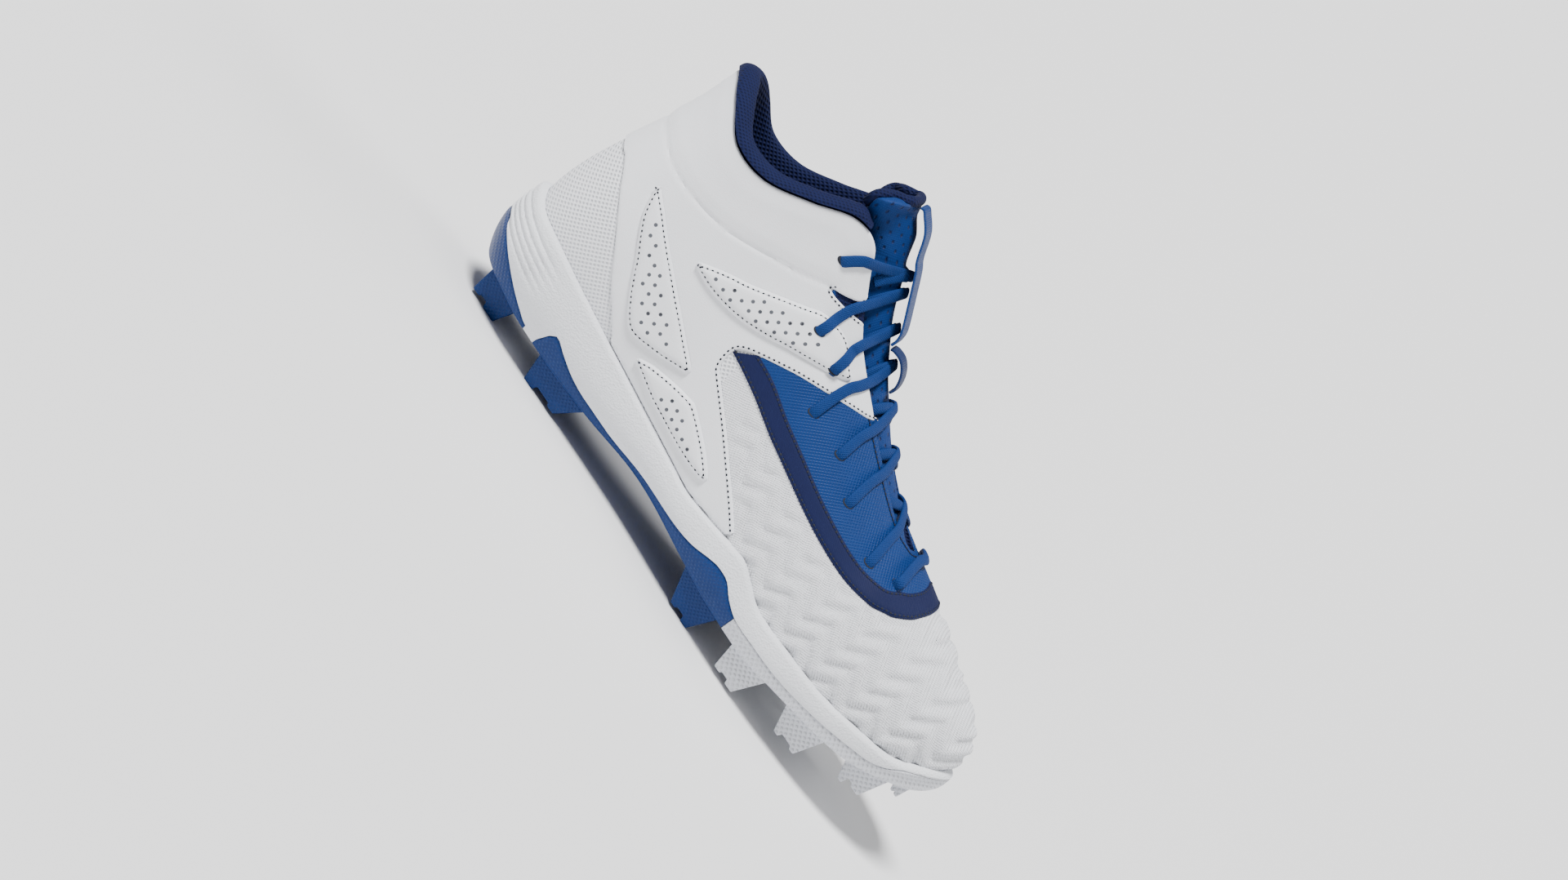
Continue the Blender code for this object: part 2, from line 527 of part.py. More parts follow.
def tongue_half(station, side, depth, t):
    """Points from the tongue's side edge, t = 0, to its middle, t = 1, at a depth below its outer face."""
    edge_row, edge_reach, edge_in, mid_row, rise, forward, crown, _ = station
    turn = edge_row if side == OUTER else ROUND - edge_row
    mid_turn = mid_row if side == OUTER else ROUND - mid_row
    lift = np.array([0.0, 0.0, rise * HEEL_HEIGHT])
    edge = off_upper(turn, edge_reach, -TONGUE_UNDER - COLLAR_PAD * edge_in - depth) + lift
    hand = off_upper(mid_turn, 1.0, -TONGUE_UNDER - depth) + lift
    top = upper_point(mid_row, 1.0)
    middle = np.array([top[0] + forward * LENGTH, centre_y(top[0]), top[2] + crown * HEEL_HEIGHT])
    middle = middle - unit(np.array([1.0, 0.0, 1.0])) * depth
    near = middle + np.array([0.0, (hand[1] - middle[1]) * TONGUE_SPAN, 0.0])
    t = np.asarray(t, float)[:, None]
    s = 1 - t
    return s**3 * edge + 3 * s**2 * t * hand + 3 * s * t**2 * near + t**3 * middle


def tongue_line(station, depth):
    t = np.linspace(0, 1, TONGUE_ACROSS + 1)
    outer, inner = (tongue_half(station, side, depth, t) for side in (OUTER, INNER))
    return np.concatenate([outer, inner[-2::-1]])


def tongue_point(place, side_share, rise):
    """A point over the tongue: side_share runs from its outer edge, -1, to its inner edge, 1."""
    side = OUTER if side_share < 0 else INNER
    return tongue_half(tongue_station(place), side, -rise, [1 - abs(side_share)])[0]


def tongue_normal(place, side_share):
    """The outward direction of the tongue's face."""
    forward = tongue_point(place - 0.2, side_share, 0.0) - tongue_point(place + 0.2, side_share, 0.0)
    inward = tongue_point(place, side_share + 0.03, 0.0) - tongue_point(place, side_share - 0.03, 0.0)
    return unit(np.cross(forward, inward))


def make_tongue():
    rings = []
    for station in TONGUE:
        thickness = TONGUE_THICKNESS * station[-1]
        rings.append(np.concatenate([tongue_line(station, 0.0), tongue_line(station, thickness)[::-1]]))
    add_object("tongue", triangulated(loft(rings)), ROYAL_BLUE, 0.7)


BINDING_START = 9.75
BINDING_SIDES = 6


def make_binding():
    """A roll along the tongue's free edge: up one side, over the top and down the other."""
    top = len(TONGUE) - 1
    places = [BINDING_START] + list(range(math.ceil(BINDING_START), top)) + [top]
    stations = [tongue_station(place) for place in places]
    lines = [tongue_line(station, TONGUE_THICKNESS * station[-1] / 2) for station in stations]
    over = unit(lines[-1] - lines[-2])
    up_outer = [(line[0], unit(line[0] - line[1])) for line in lines]
    up_inner = [(line[-1], unit(line[-1] - line[-2])) for line in lines]
    corner_outer = (up_outer[-1][0], unit(up_outer[-1][1] + over[0]))
    corner_inner = (up_inner[-1][0], unit(up_inner[-1][1] + over[-1]))
    path = up_outer[:-1] + [corner_outer] + list(zip(lines[-1][1:-1], over[1:-1]))
    path += [corner_inner] + up_inner[-2::-1]
    edge, outs = (np.array(values) for values in zip(*path))
    tangents = unit(np.gradient(edge, axis=0))
    outs = unit(outs - tangents * np.sum(outs * tangents, 1)[:, None])
    centres = edge + outs * (BINDING_RADIUS + 5 * GAP)
    faces = np.cross(tangents, outs)
    angles = np.linspace(0, 2 * math.pi, BINDING_SIDES, endpoint=False)
    rings = [[centre + BINDING_RADIUS * (math.cos(a) * out + math.sin(a) * face) for a in angles]
             for centre, out, face in zip(centres, outs, faces)]
    add_object("tongue_binding", triangulated(loft(rings)), NAVY, 0.8)


def band(points, normals, width, thickness):
    """A flat band along a path, its section turned to face the normals."""
    points, normals = np.array(points), unit(np.array(normals))
    tangents = unit(np.gradient(points, axis=0))
    sideways = unit(np.cross(tangents, normals))
    normals = np.cross(sideways, tangents)
    rings = []
    for point, aside, up in zip(points, sideways, normals):
        rings.append([point + aside * (a * width / 2) + up * (b * thickness / 2)
                      for a, b in ((-1, -1), (1, -1), (1, 1), (-1, 1))])
    return loft(rings)


# Straps on the middle of the tongue: a place along it and a rise above its face, as a share of STRAP_WIDTH.
PULL_STRAP = ((11.60, 0.10), (11.20, 0.25), (10.20, 0.40), (9.20, 0.42), (8.20, 0.40), (7.30, 0.42),
              (6.60, 0.52), (6.20, 0.50), (5.98, 0.40), (5.84, 0.26), (5.76, 0.12))
LACE_KEEPER = ((5.68, 0.10), (5.64, 0.28), (5.52, 0.50), (5.35, 0.56), (5.18, 0.46), (5.04, 0.26),
               (4.99, 0.10))


def make_strap(name, places, width, colour):
    points = [tongue_point(place, 0.0, rise * STRAP_WIDTH) for place, rise in places]
    along_x = np.gradient(np.array(points), axis=0)
    normals = np.stack([-along_x[:, 2], np.zeros(len(points)), along_x[:, 0]], 1)
    add_object(name, triangulated(band(points, normals, width, STRAP_THICKNESS)), colour, 0.7)


# Laces: the eyelet's row and reach, a rise over the pad as a share of PAD_RISE, the row where the lace
# leaves the upper over the throat's edge, the tongue's place at its middle, and the place at the far side
# where it goes down under the edge.
LACES = (
    (6.83, 0.865, 0.0, 7.90, 7.25, 7.10),
    (8.05, 0.718, 1.0, 8.60, 6.68, 6.60),
    (9.03, 0.770, 1.0, 9.20, 6.02, 5.92),
    (9.35, 0.638, 0.0, 9.80, 5.38, 5.42),
    (10.30, 0.700, 0.0, 10.50, 4.72, 4.95),
    (11.03, 0.667, 0.0, 11.20, 4.05, 4.25),
    (12.23, 0.650, 0.0, 12.20, 3.15, 3.60),
)
LACE_BAR = ((13.58, 0.693), (13.80, 0.800), (14.05, 0.900), (14.30, 1.000))
LACE_LIFT = BAND_SEAT + PANEL_THICKNESS + 5 * GAP + LACE_THICKNESS / 2
BAR_LIFT = LACE_LIFT - 3 * GAP
LACE_OVER_TONGUE = (-0.42, -0.21, 0.0, 0.21, 0.42)


def lace_half(lace, side, extra):
    """One lace: from its eyelet, over the throat's edge and the tongue, and down at the far edge."""
    eyelet_row, eyelet_reach, over_pad, edge_row, middle, far = lace
    turn = (lambda row: row) if side == OUTER else (lambda row: ROUND - row)
    points, normals = [], []
    for way in (0.0, 0.5, 1.0):
        row = eyelet_row + (edge_row - eyelet_row) * way
        reach = eyelet_reach + (1 - eyelet_reach) * way
        pad_lift = (PAD_RISE + 2 * GAP) * over_pad * min(1, 1.6 - 1.6 * way)
        points.append(off_upper(turn(row), reach, LACE_LIFT + pad_lift))
        normals.append(upper_normal(turn(row), reach))
    near = len(TONGUE) - 1 - float(np.interp(edge_row, [row[3] for row in TONGUE][::-1], range(len(TONGUE))))
    for share in LACE_OVER_TONGUE:
        place = near + (middle - near) * (1 + share) if share < 0 else middle + (far - middle) * share
        lift = 3 * GAP + LACE_THICKNESS / 2 + extra * (1 - 4 * share**2)
        across_share = -side * share
        point, normal = tongue_point(place, across_share, 0.0), tongue_normal(place, across_share)
        points.append(point + normal * lift)
        normals.append(normal)
    return band(points, normals, LACE_WIDTH, LACE_THICKNESS)


def make_laces():
    """Each crossing is two laces joined where they cross; a straight bar closes the throat's front end."""
    for number, lace in enumerate(LACES, 1):
        crossing = add_object(f"lace_{number}", triangulated(lace_half(lace, OUTER, 0.0)), ROYAL_BLUE, 0.8)
        other = add_object(f"lace_{number}_over", triangulated(lace_half(lace, INNER, LACE_THICKNESS * 0.6)))
        combine(crossing, other, "UNION")
    places = LACE_BAR + tuple((ROUND - row, reach) for row, reach in LACE_BAR[-2::-1])
    points = [off_upper(row, reach, BAR_LIFT) for row, reach in places]
    normals = [upper_normal(row, reach) for row, reach in places]
    add_object("lace_bar", triangulated(band(points, normals, LACE_WIDTH, LACE_THICKNESS)), ROYAL_BLUE, 0.8)


# Sole

RIM_STATION = 0.0085
BAND_CLEARANCE = 0.0012


def side_frame(u):
    """The foot line's points, outward directions and rim stations, for rows u round the shoe."""
    foot = upper_point(u, 0.0)
    outward = unit(through(OUTWARD, u))
    station = (foot[..., 0] + outward[..., 0] * RIM_STATION) / LENGTH
    return foot, outward, station


class Side:
    """One side of the sole at row u: its heights, and its outline as a distance outside the foot line."""

    def __init__(self, u):
        self.foot, self.outward, x = side_frame(np.asarray(float(u)))
        self.u = float(u)
        self.rim = float(height(along(RIM_LINE, x)))
        self.plate = float(height(along(PLATE_LINE, x)))
        self.band = min(float(height(along(BAND_LINE, x))), self.rim - BAND_CLEARANCE)
        self.bed = float(self.foot[2])
        self.tuck = float(along(TUCK_LINE, x)) * BALL_WIDTH
        reaches = np.linspace(0, 0.6, 61)
        self.rim_reach = float(np.interp(self.rim, upper_point(self.u, reaches)[:, 2], reaches))
        self.lip = float(np.dot(upper_point(self.u, self.rim_reach) - self.foot, self.outward)) + SEAT

    def at(self, distance, z):
        """A point at a distance outside the foot line."""
        point = self.foot + self.outward * distance
        return np.array([point[0], point[1], z])

    def width(self, z):
        """The sole's outer face as a distance outside the foot line."""
        h = np.clip((z - self.plate) / (self.rim - self.plate), 0, 1)
        full = self.lip + RIM_THICKNESS
        return full - self.tuck * (1 - h) ** SIDE_POWER + SIDE_SWELL * BALL_WIDTH * math.sin(math.pi * h)

    def skin(self, z, inset=0.0):
        return self.at(self.width(z) - inset, z)


def across(left, right):
    """Points strictly between two points, in a straight line."""
    return [left + (right - left) * i / ACROSS for i in range(1, ACROSS)]


def band_inside(side, gap):
    """Where the outsole's wrap meets the midsole: out at the band, in behind it, and on the plate."""
    plate_top = side.plate + PLATE_THICKNESS
    shelf = max(side.band, plate_top)
    return [side.skin(side.band + gap), side.at(side.width(shelf) - WRAP_THICKNESS - gap, shelf + gap),
            side.at(side.width(plate_top) - WRAP_THICKNESS - gap, plate_top + gap)]


def outsole_ring(u):
    sides = [Side(u), Side(ROUND - u)]
    halves = []
    for side in sides:
        outer = [side.skin(side.plate + (side.band - side.plate) * step) for step in WRAP_STEPS]
        inner = band_inside(side, 0.0)[1:]
        halves.append((outer, inner))
    (outer_a, inner_a), (outer_b, inner_b) = halves
    return (outer_a + across(outer_a[-1], outer_b[-1]) + outer_b[::-1]
            + inner_b + across(inner_b[-1], inner_a[-1]) + inner_a[::-1])


def midsole_ring(u, covered):
    """The midsole's section, stepped in over the outsole, or out to the full side where it is bare."""
    halves = []
    for side in (Side(u), Side(ROUND - u)):
        cup = [off_upper(side.u, min(reach, side.rim_reach), SEAT) for reach in CUP_REACHES]
        cup[0] = side.at(SEAT, side.bed - SEAT)
        top = [side.at(side.lip + RIM_THICKNESS * 0.7, side.rim)]
        low = side.band + GAP if covered else side.plate
        face = [side.skin(low + (side.rim - low) * step) for step in SIDE_STEPS]
        base = band_inside(side, GAP)[1:] if covered else [side.skin(side.plate), side.skin(side.plate)]
        halves.append((cup, top + face, base))
    (cup_a, face_a, base_a), (cup_b, face_b, base_b) = halves
    under, over = across(base_a[-1], base_b[-1]), across(cup_b[0], cup_a[0])
    return cup_a + face_a + base_a + under + base_b[::-1] + face_b[::-1] + cup_b[::-1] + over


def row_at(x_share):
    """The row whose rim station is at x."""
    rows = np.linspace(0, LAST_ROW, 2001)
    return float(np.interp(x_share, side_frame(rows)[2], rows))


def rows_between(first, last):
    stops = sorted(SOLE_ROWS + tuple(row_at(x) for x in STEEP_BAND))
    rows = [row for row in stops if first + 0.12 < row < last - 0.12]
    return [first] + rows + [last]


def make_midsole():
    land_start, bare_start = (row_at(HEEL_PIECE_END + gap / LENGTH) for gap in (GAP, GAP + LAND_STEP))
    bare_end, land_end = (row_at(MID_PIECE_START - gap / LENGTH) for gap in (GAP + LAND_STEP, GAP))
    piece_end, piece_start = row_at(MID_PIECE_END), row_at(MID_PIECE_END + GAP / LENGTH)
    rings = [midsole_ring(row, True) for row in rows_between(0, land_start)]
    rings += [midsole_ring(row, False) for row in (bare_start, bare_end)]
    rings.append(midsole_ring(land_end, True))
    rings += [midsole_ring(row, True) for row in rows_between(row_at(MID_PIECE_START), piece_end)]
    rings += [midsole_ring(row, True) for row in rows_between(piece_start, LAST_ROW)]
    bm = triangulated(loft(rings, (False, False)))
    midsole = add_object("midsole", bm, WHITE, 0.6)
    combine(midsole, rib_cutter(), "DIFFERENCE")
    combine(midsole, notch_cutter(), "DIFFERENCE")
    return midsole


def notch_cutter():
    """A flex notch across the bare land of the midsole."""
    back, front, top = NOTCH
    low = height(-0.05)
    bm = bmesh.new()
    bmesh.ops.create_cube(bm, size=1.0)
    size = ((front - back) * LENGTH, BALL_WIDTH * 1.2, height(top) - low)
    bmesh.ops.scale(bm, vec=Vector(size), verts=bm.verts)
    bmesh.ops.translate(bm, vec=Vector(((front + back) / 2 * LENGTH, 0.0, low + size[2] / 2)), verts=bm.verts)
    return add_object("midsole_notch", bm)


# Ribs: grooves round the heel of the midsole, each with its height at the back and at its front end, and
# that end's x. Shorter ones on the sides only: x and height at both ends.
RIBS = ((0.196, 0.158, -0.345), (0.176, 0.135, -0.345), (0.158, 0.112, -0.350))
SIDE_RIBS = ((-0.462, 0.122, -0.365, 0.090), (-0.440, 0.098, -0.385, 0.078))
RIB_HALF_WIDTH = 0.0009


def groove_rings(rows, heights):
    """A three-sided cutter that follows the sole's side and fades out at both ends."""
    share = np.linspace(0, 1, len(rows))
    depth = RIB_DEPTH * np.minimum(1, 4 * np.minimum(share, 1 - share) + 0.15)
    rings = []
    for u, z, d in zip(rows, heights, depth):
        side = Side(u % ROUND)
        full = side.width(z)
        mouth = [side.at(full + RIB_DEPTH, z + RIB_HALF_WIDTH * 2 * way) for way in (-1, 1)]
        rings.append([side.at(full - d, z)] + mouth)
    return rings


def rib_cutter():
    bm = bmesh.new()
    lines = []
    for back_z, front_z, front_x in RIBS:
        last = row_at(front_x)
        rows = np.linspace(-last, last, 17)
        lines.append((rows, height(back_z + (front_z - back_z) * (np.abs(rows) / last) ** 1.3)))
    for back_x, back_z, front_x, front_z in SIDE_RIBS:
        for sign in (1, -1):
            rows = np.linspace(row_at(back_x), row_at(front_x), 5) * sign
            lines.append((rows, height(np.linspace(back_z, front_z, 5))))
    for rows, heights in lines:
        piece = triangulated(loft(groove_rings(rows, heights)))
        mesh = bpy.data.meshes.new("groove")
        piece.to_mesh(mesh)
        piece.free()
        bm.from_mesh(mesh)
        bpy.data.meshes.remove(mesh)
    return add_object("midsole_ribs", bm)


# Studs in side view, from back to front: root_back, root_front, then rear_back, rear_front, front_back
# and front_front of the tip's two feet, as shares of LENGTH; rear_z and front_z, the feet's heights above
# the ground as shares of STUD_HEIGHT. The tip is stepped between its feet.
STUDS = {
    "heel": ((-0.440, -0.368, -0.434, -0.4205, -0.4045, -0.380, 0.11, 0.00),),
    "mid": ((-0.3055, -0.1985, -0.289, -0.270, -0.2395, -0.226, 0.00, 0.11),
            (0.0475, 0.1405, 0.081, 0.091, 0.109, 0.1225, 0.09, 0.00)),
    "front": ((0.174, 0.248, 0.187, 0.199, 0.215, 0.230, 0.18, 0.13),
              (0.2815, 0.361, 0.308, 0.317, 0.3405, 0.3495, 0.44, 0.52),
              (0.392, 0.458, 0.414, 0.422, 0.434, 0.450, 0.98, 1.18)),
}
TOE_STUD = (0.462, 0.488, 0.472, 0.476, 0.480, 0.486, 1.85, 1.85)
TOE_STUD_HALF = 0.008
STUD_STEP = 0.09
STUD_STEP_RUN = 0.002
STUD_INSET = 0.0012
STUD_LEAN = 0.0022


def plate_edge(x_share, side):
    """How far out the sole's bottom edge lies at x, on one side."""
    rows = np.linspace(0.3, LAST_ROW - 0.3, 80)
    rows = rows if side == OUTER else ROUND - rows
    points = np.array([Side(u).skin(Side(u).plate) for u in rows])
    return float(np.interp(x_share * LENGTH, points[:, 0], points[:, 1]))


def stud_rings(stud, y_root, y_tip):
    """The stud's side outline at its outer and inner face; each face leans from root to tip."""
    root_back, root_front, rear_back, rear_front, front_back, front_front, rear_z, front_z = stud
    mid_z = max(rear_z, front_z) + STUD_STEP
    root = [float(height(along(PLATE_LINE, x))) + PLATE_THICKNESS / 2 for x in (root_back, root_front)]
    rear_z, mid_z, front_z = (share * STUD_HEIGHT for share in (rear_z, mid_z, front_z))
    step = ((rear_front + STUD_STEP_RUN, mid_z), (front_back - STUD_STEP_RUN, mid_z))
    outline = ((root_back, root[0]), (rear_back, rear_z), (rear_front, rear_z)) + step
    outline += ((front_back, front_z), (front_front, front_z), (root_front, root[1]))
    low, high = min(rear_z, front_z), max(root)
    rings = []
    for at_root, at_tip in zip(y_root, y_tip):
        lean = (at_root - at_tip) / (high - low)
        rings.append([(x * LENGTH, at_tip + lean * (z - low), z) for x, z in outline])
    return rings


def make_outsole(piece, first, last, ends, colour):
    rings = [outsole_ring(row) for row in rows_between(first, last)]
    outsole = add_object(f"outsole_{piece}", triangulated(loft(rings, ends)), colour, 0.55)
    for number, stud in enumerate(STUDS[piece]):
        for side, side_name in BOTH_SIDES:
            edge = min(abs(plate_edge(stud[0], side)), abs(plate_edge(stud[1], side))) - STUD_INSET
            root = np.array([edge, edge - STUD_ROOT_WIDTH]) * side
            tip = np.array([edge - STUD_LEAN, edge - STUD_LEAN - STUD_TIP_WIDTH]) * side
            body = triangulated(loft(stud_rings(stud, root, tip)))
            combine(outsole, add_object(f"stud_{piece}_{number}_{side_name}", body), "UNION")
    if piece == "front":
        middle = float(centre_y(TOE_STUD[0] * LENGTH))
        root = np.array([middle - TOE_STUD_HALF, middle + TOE_STUD_HALF])
        tip = np.array([middle - TOE_STUD_HALF * 0.7, middle + TOE_STUD_HALF * 0.7])
        combine(outsole, add_object("stud_toe", triangulated(loft(stud_rings(TOE_STUD, root, tip)))), "UNION")
    return outsole


def make_outsoles():
    make_outsole("heel", 0, row_at(HEEL_PIECE_END), (False, True), ROYAL_BLUE)
    make_outsole("mid", row_at(MID_PIECE_START), row_at(MID_PIECE_END), (True, True), ROYAL_BLUE)
    make_outsole("front", row_at(MID_PIECE_END + GAP / LENGTH), LAST_ROW, (True, False), SHADED_WHITE)


def make_insole():
    inset = WALL + 2 * GAP
    rings = []
    for row in range(LAST_ROW + 1):
        sides = [Side(row), Side(ROUND - row)]
        low = [side.at(-inset, side.bed) for side in sides]
        high = [side.at(-inset, side.bed + INSOLE_THICKNESS) for side in sides]
        under, over = across(low[0], low[1]), across(high[1], high[0])
        rings.append([low[0]] + under + [low[1], high[1]] + over + [high[0]])
    add_object("insole", triangulated(loft(rings, (False, False))), NAVY, 0.9)


make_upper()
make_quarter()
make_vamp_panels()
make_pads()
make_lining()
make_tongue()
make_binding()
make_strap("tongue_strap", PULL_STRAP, STRAP_WIDTH, ROYAL_BLUE)
make_strap("lace_keeper", LACE_KEEPER, STRAP_WIDTH * 0.8, NAVY)
make_laces()
make_midsole()
make_outsoles()
make_insole()
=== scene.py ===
"""Looks for the baseball cleat: one right shoe, empty, standing on its studs.

Metres, in the CAD's frame: +X to the toe, +Y to the inner side, +Z up. The surface functions repeat the
part's own, so a place on the upper is a row from the heel (0) to the toe (LAST_ROW), and a reach from the
footbed (0) to the collar, the throat or the ridge over the toes (1). Side-view places are (x, z) shares of
LENGTH and HEEL_HEIGHT. The inner half mirrors the outer half's rows.
"""
import math

import bmesh
import bpy
import numpy as np
from mathutils import Matrix, Vector
from mathutils.bvhtree import BVHTree
from mathutils.geometry import delaunay_2d_cdt


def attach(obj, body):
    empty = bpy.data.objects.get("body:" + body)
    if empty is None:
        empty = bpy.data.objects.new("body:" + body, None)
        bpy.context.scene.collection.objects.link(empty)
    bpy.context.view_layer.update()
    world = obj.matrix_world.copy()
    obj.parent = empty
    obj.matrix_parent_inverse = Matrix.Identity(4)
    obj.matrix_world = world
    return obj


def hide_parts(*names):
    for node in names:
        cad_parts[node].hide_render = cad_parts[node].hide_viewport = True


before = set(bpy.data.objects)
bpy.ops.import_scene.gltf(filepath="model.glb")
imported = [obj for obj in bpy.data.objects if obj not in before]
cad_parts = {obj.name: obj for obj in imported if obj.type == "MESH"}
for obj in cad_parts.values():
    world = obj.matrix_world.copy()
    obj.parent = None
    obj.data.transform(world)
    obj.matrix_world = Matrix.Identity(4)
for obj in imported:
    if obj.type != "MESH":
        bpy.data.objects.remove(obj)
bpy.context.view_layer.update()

MM = 0.001

# Driving sizes
LENGTH = 0.302
BALL_WIDTH = 0.101
HEEL_HEIGHT = 0.137
STUD_HEIGHT = 0.0135
TOE_TURN = 0.007
WALL = 0.0024
COLLAR_PAD = 0.0056
COLLAR_ROLL = 0.0045
ROLL_SEAT = 0.0011
TONGUE_THICKNESS = 0.0045
INSOLE_THICKNESS = 0.004
PANEL_THICKNESS = 0.0009
PAD_RISE = 0.0024
RIM_THICKNESS = 0.0032
PLATE_THICKNESS = 0.0032
WRAP_THICKNESS = 0.0028
STUD_ROOT_WIDTH = 0.015
STUD_TIP_WIDTH = 0.0075
RIB_DEPTH = 0.0009
LACE_THICKNESS = 0.0015
STRAP_WIDTH = 0.014
STRAP_THICKNESS = 0.0014
BINDING_RADIUS = 0.0024
GAP = 0.0003
SEAT = 0.0004
BAND_SEAT = 0.0006

OUTER, INNER = -1, 1

# The upper's sections. foot: the wall's lower edge, on the footbed. top: the collar, throat or ridge
# line. x is a share of LENGTH, y and the bulges of BALL_WIDTH, z of HEEL_HEIGHT, a rise of the section's
# own height.
SECTION_COLUMNS = ("foot_x", "outer_y", "inner_y", "top_x", "top_half", "top_z",
                   "low_bulge", "low_rise", "high_bulge", "high_rise")
SECTIONS = (
    (-0.462, 0.000, 0.000, -0.472, 0.000, 0.957, 0.235, 0.27, -0.070, 0.72),
    (-0.448, -0.145, 0.145, -0.461, 0.108, 0.953, 0.228, 0.27, -0.067, 0.72),
    (-0.422, -0.228, 0.222, -0.432, 0.212, 0.914, 0.205, 0.28, -0.055, 0.72),
    (-0.378, -0.274, 0.260, -0.384, 0.276, 0.857, 0.165, 0.30, -0.045, 0.72),
    (-0.316, -0.288, 0.266, -0.325, 0.293, 0.868, 0.130, 0.31, -0.040, 0.72),
    (-0.242, -0.293, 0.252, -0.265, 0.285, 0.947, 0.110, 0.32, -0.025, 0.72),
    (-0.176, -0.302, 0.240, -0.212, 0.252, 1.029, 0.100, 0.33, -0.010, 0.72),
    (-0.113, -0.316, 0.240, -0.168, 0.218, 1.029, 0.100, 0.33, 0.020, 0.74),
    (-0.053, -0.337, 0.252, -0.129, 0.188, 0.945, 0.100, 0.35, 0.060, 0.80),
    (0.013, -0.372, 0.292, -0.070, 0.160, 0.826, 0.095, 0.38, 0.110, 0.85),
    (0.080, -0.405, 0.342, 0.007, 0.139, 0.736, 0.090, 0.42, 0.150, 0.88),
    (0.146, -0.425, 0.388, 0.089, 0.124, 0.653, 0.085, 0.45, 0.170, 0.90),
    (0.205, -0.432, 0.412, 0.162, 0.100, 0.587, 0.085, 0.48, 0.190, 0.93),
    (0.255, -0.424, 0.420, 0.203, 0.060, 0.565, 0.085, 0.50, 0.220, 0.97),
    (0.295, -0.403, 0.412, 0.219, 0.000, 0.563, 0.085, 0.50, 0.250, 1.00),
    (0.334, -0.375, 0.397, 0.262, 0.000, 0.543, 0.085, 0.50, 0.225, 1.00),
    (0.373, -0.335, 0.374, 0.305, 0.000, 0.520, 0.085, 0.50, 0.200, 1.00),
    (0.408, -0.283, 0.340, 0.347, 0.000, 0.495, 0.090, 0.50, 0.180, 1.00),
    (0.438, -0.212, 0.288, 0.385, 0.000, 0.469, 0.105, 0.50, 0.165, 0.98),
    (0.461, -0.110, 0.205, 0.414, 0.000, 0.447, 0.135, 0.50, 0.160, 0.96),
    (0.471, 0.050, 0.050, 0.430, 0.000, 0.434, 0.158, 0.50, 0.168, 0.94),
)
THROAT_END_ROW = 14
LAST_ROW = len(SECTIONS) - 1
ROUND = 2 * LAST_ROW

# Height lines along the shoe: x is a share of LENGTH, z a share of HEEL_HEIGHT above the studs' roots.
BED_LINE = ((-0.50, 0.121), (-0.33, 0.112), (-0.17, 0.099), (0.00, 0.086), (0.13, 0.077), (0.23, 0.081),
            (0.33, 0.108), (0.40, 0.139), (0.46, 0.176), (0.50, 0.204))
RIM_LINE = ((-0.495, 0.272), (-0.483, 0.258), (-0.467, 0.247), (-0.434, 0.244), (-0.400, 0.238),
            (-0.334, 0.218), (-0.268, 0.199), (-0.169, 0.174), (-0.070, 0.153), (-0.036, 0.147),
            (-0.003, 0.156), (0.063, 0.181), (0.086, 0.188), (0.113, 0.172), (0.146, 0.145),
            (0.169, 0.138), (0.228, 0.143), (0.295, 0.148), (0.328, 0.155), (0.361, 0.167),
            (0.394, 0.178), (0.427, 0.188), (0.448, 0.200), (0.464, 0.220), (0.480, 0.244),
            (0.498, 0.268))
BAND_LINE = ((-0.490, 0.135), (-0.483, 0.133), (-0.467, 0.113), (-0.434, 0.077), (-0.400, 0.043),
             (-0.368, 0.018), (-0.349, 0.006), (-0.323, 0.012), (-0.318, 0.046), (-0.313, 0.070),
             (-0.306, 0.077), (-0.285, 0.062), (-0.252, 0.041), (-0.218, 0.033), (-0.169, 0.033),
             (-0.086, 0.052), (-0.003, 0.063), (0.030, 0.077), (0.063, 0.105), (0.079, 0.114),
             (0.093, 0.114), (0.122, 0.085), (0.146, 0.067), (0.195, 0.066), (0.262, 0.072),
             (0.328, 0.093), (0.361, 0.108), (0.394, 0.124), (0.420, 0.138), (0.440, 0.160),
             (0.454, 0.187), (0.464, 0.208), (0.480, 0.233), (0.498, 0.258))
PLATE_LINE = ((-0.500, 0.004), (-0.434, 0.004), (-0.360, -0.006), (-0.300, -0.006), (-0.200, 0.004),
              (-0.103, 0.030), (-0.070, 0.032), (0.030, 0.022), (0.142, 0.011), (0.200, 0.014),
              (0.260, 0.033), (0.328, 0.051), (0.378, 0.066), (0.410, 0.081), (0.444, 0.106),
              (0.474, 0.135), (0.498, 0.162))
# How far the sole's bottom edge is drawn in under its rim, as a share of BALL_WIDTH.
TUCK_LINE = ((-0.50, 0.090), (-0.40, 0.080), (-0.30, 0.055), (-0.10, 0.060), (0.10, 0.040), (0.30, 0.040),
             (0.42, 0.030), (0.50, 0.022))
SIDE_SWELL = 0.010
SIDE_POWER = 3.0


def height(share):
    """A height above the ground from a share of HEEL_HEIGHT above the studs' roots."""
    return STUD_HEIGHT + np.asarray(share) * HEEL_HEIGHT


def along(line, x):
    """A height line read at x, through its points with a smooth curve that doesn't overshoot."""
    xs = np.array([point[0] for point in line])
    ys = np.array([point[1] for point in line])
    rise = np.diff(ys) / np.diff(xs)
    slopes = np.concatenate([rise[:1], (rise[:-1] + rise[1:]) / 2, rise[-1:]])
    slopes[1:-1][rise[:-1] * rise[1:] <= 0] = 0.0
    x = np.clip(np.asarray(x, float), xs[0], xs[-1])
    i = np.clip(np.searchsorted(xs, x, side="right") - 1, 0, len(xs) - 2)
    width = xs[i + 1] - xs[i]
    t = (x - xs[i]) / width
    a, b = 2 * t**3 - 3 * t**2 + 1, -2 * t**3 + 3 * t**2
    c, d = t**3 - 2 * t**2 + t, t**3 - t**2
    return a * ys[i] + b * ys[i + 1] + c * width * slopes[i] + d * width * slopes[i + 1]


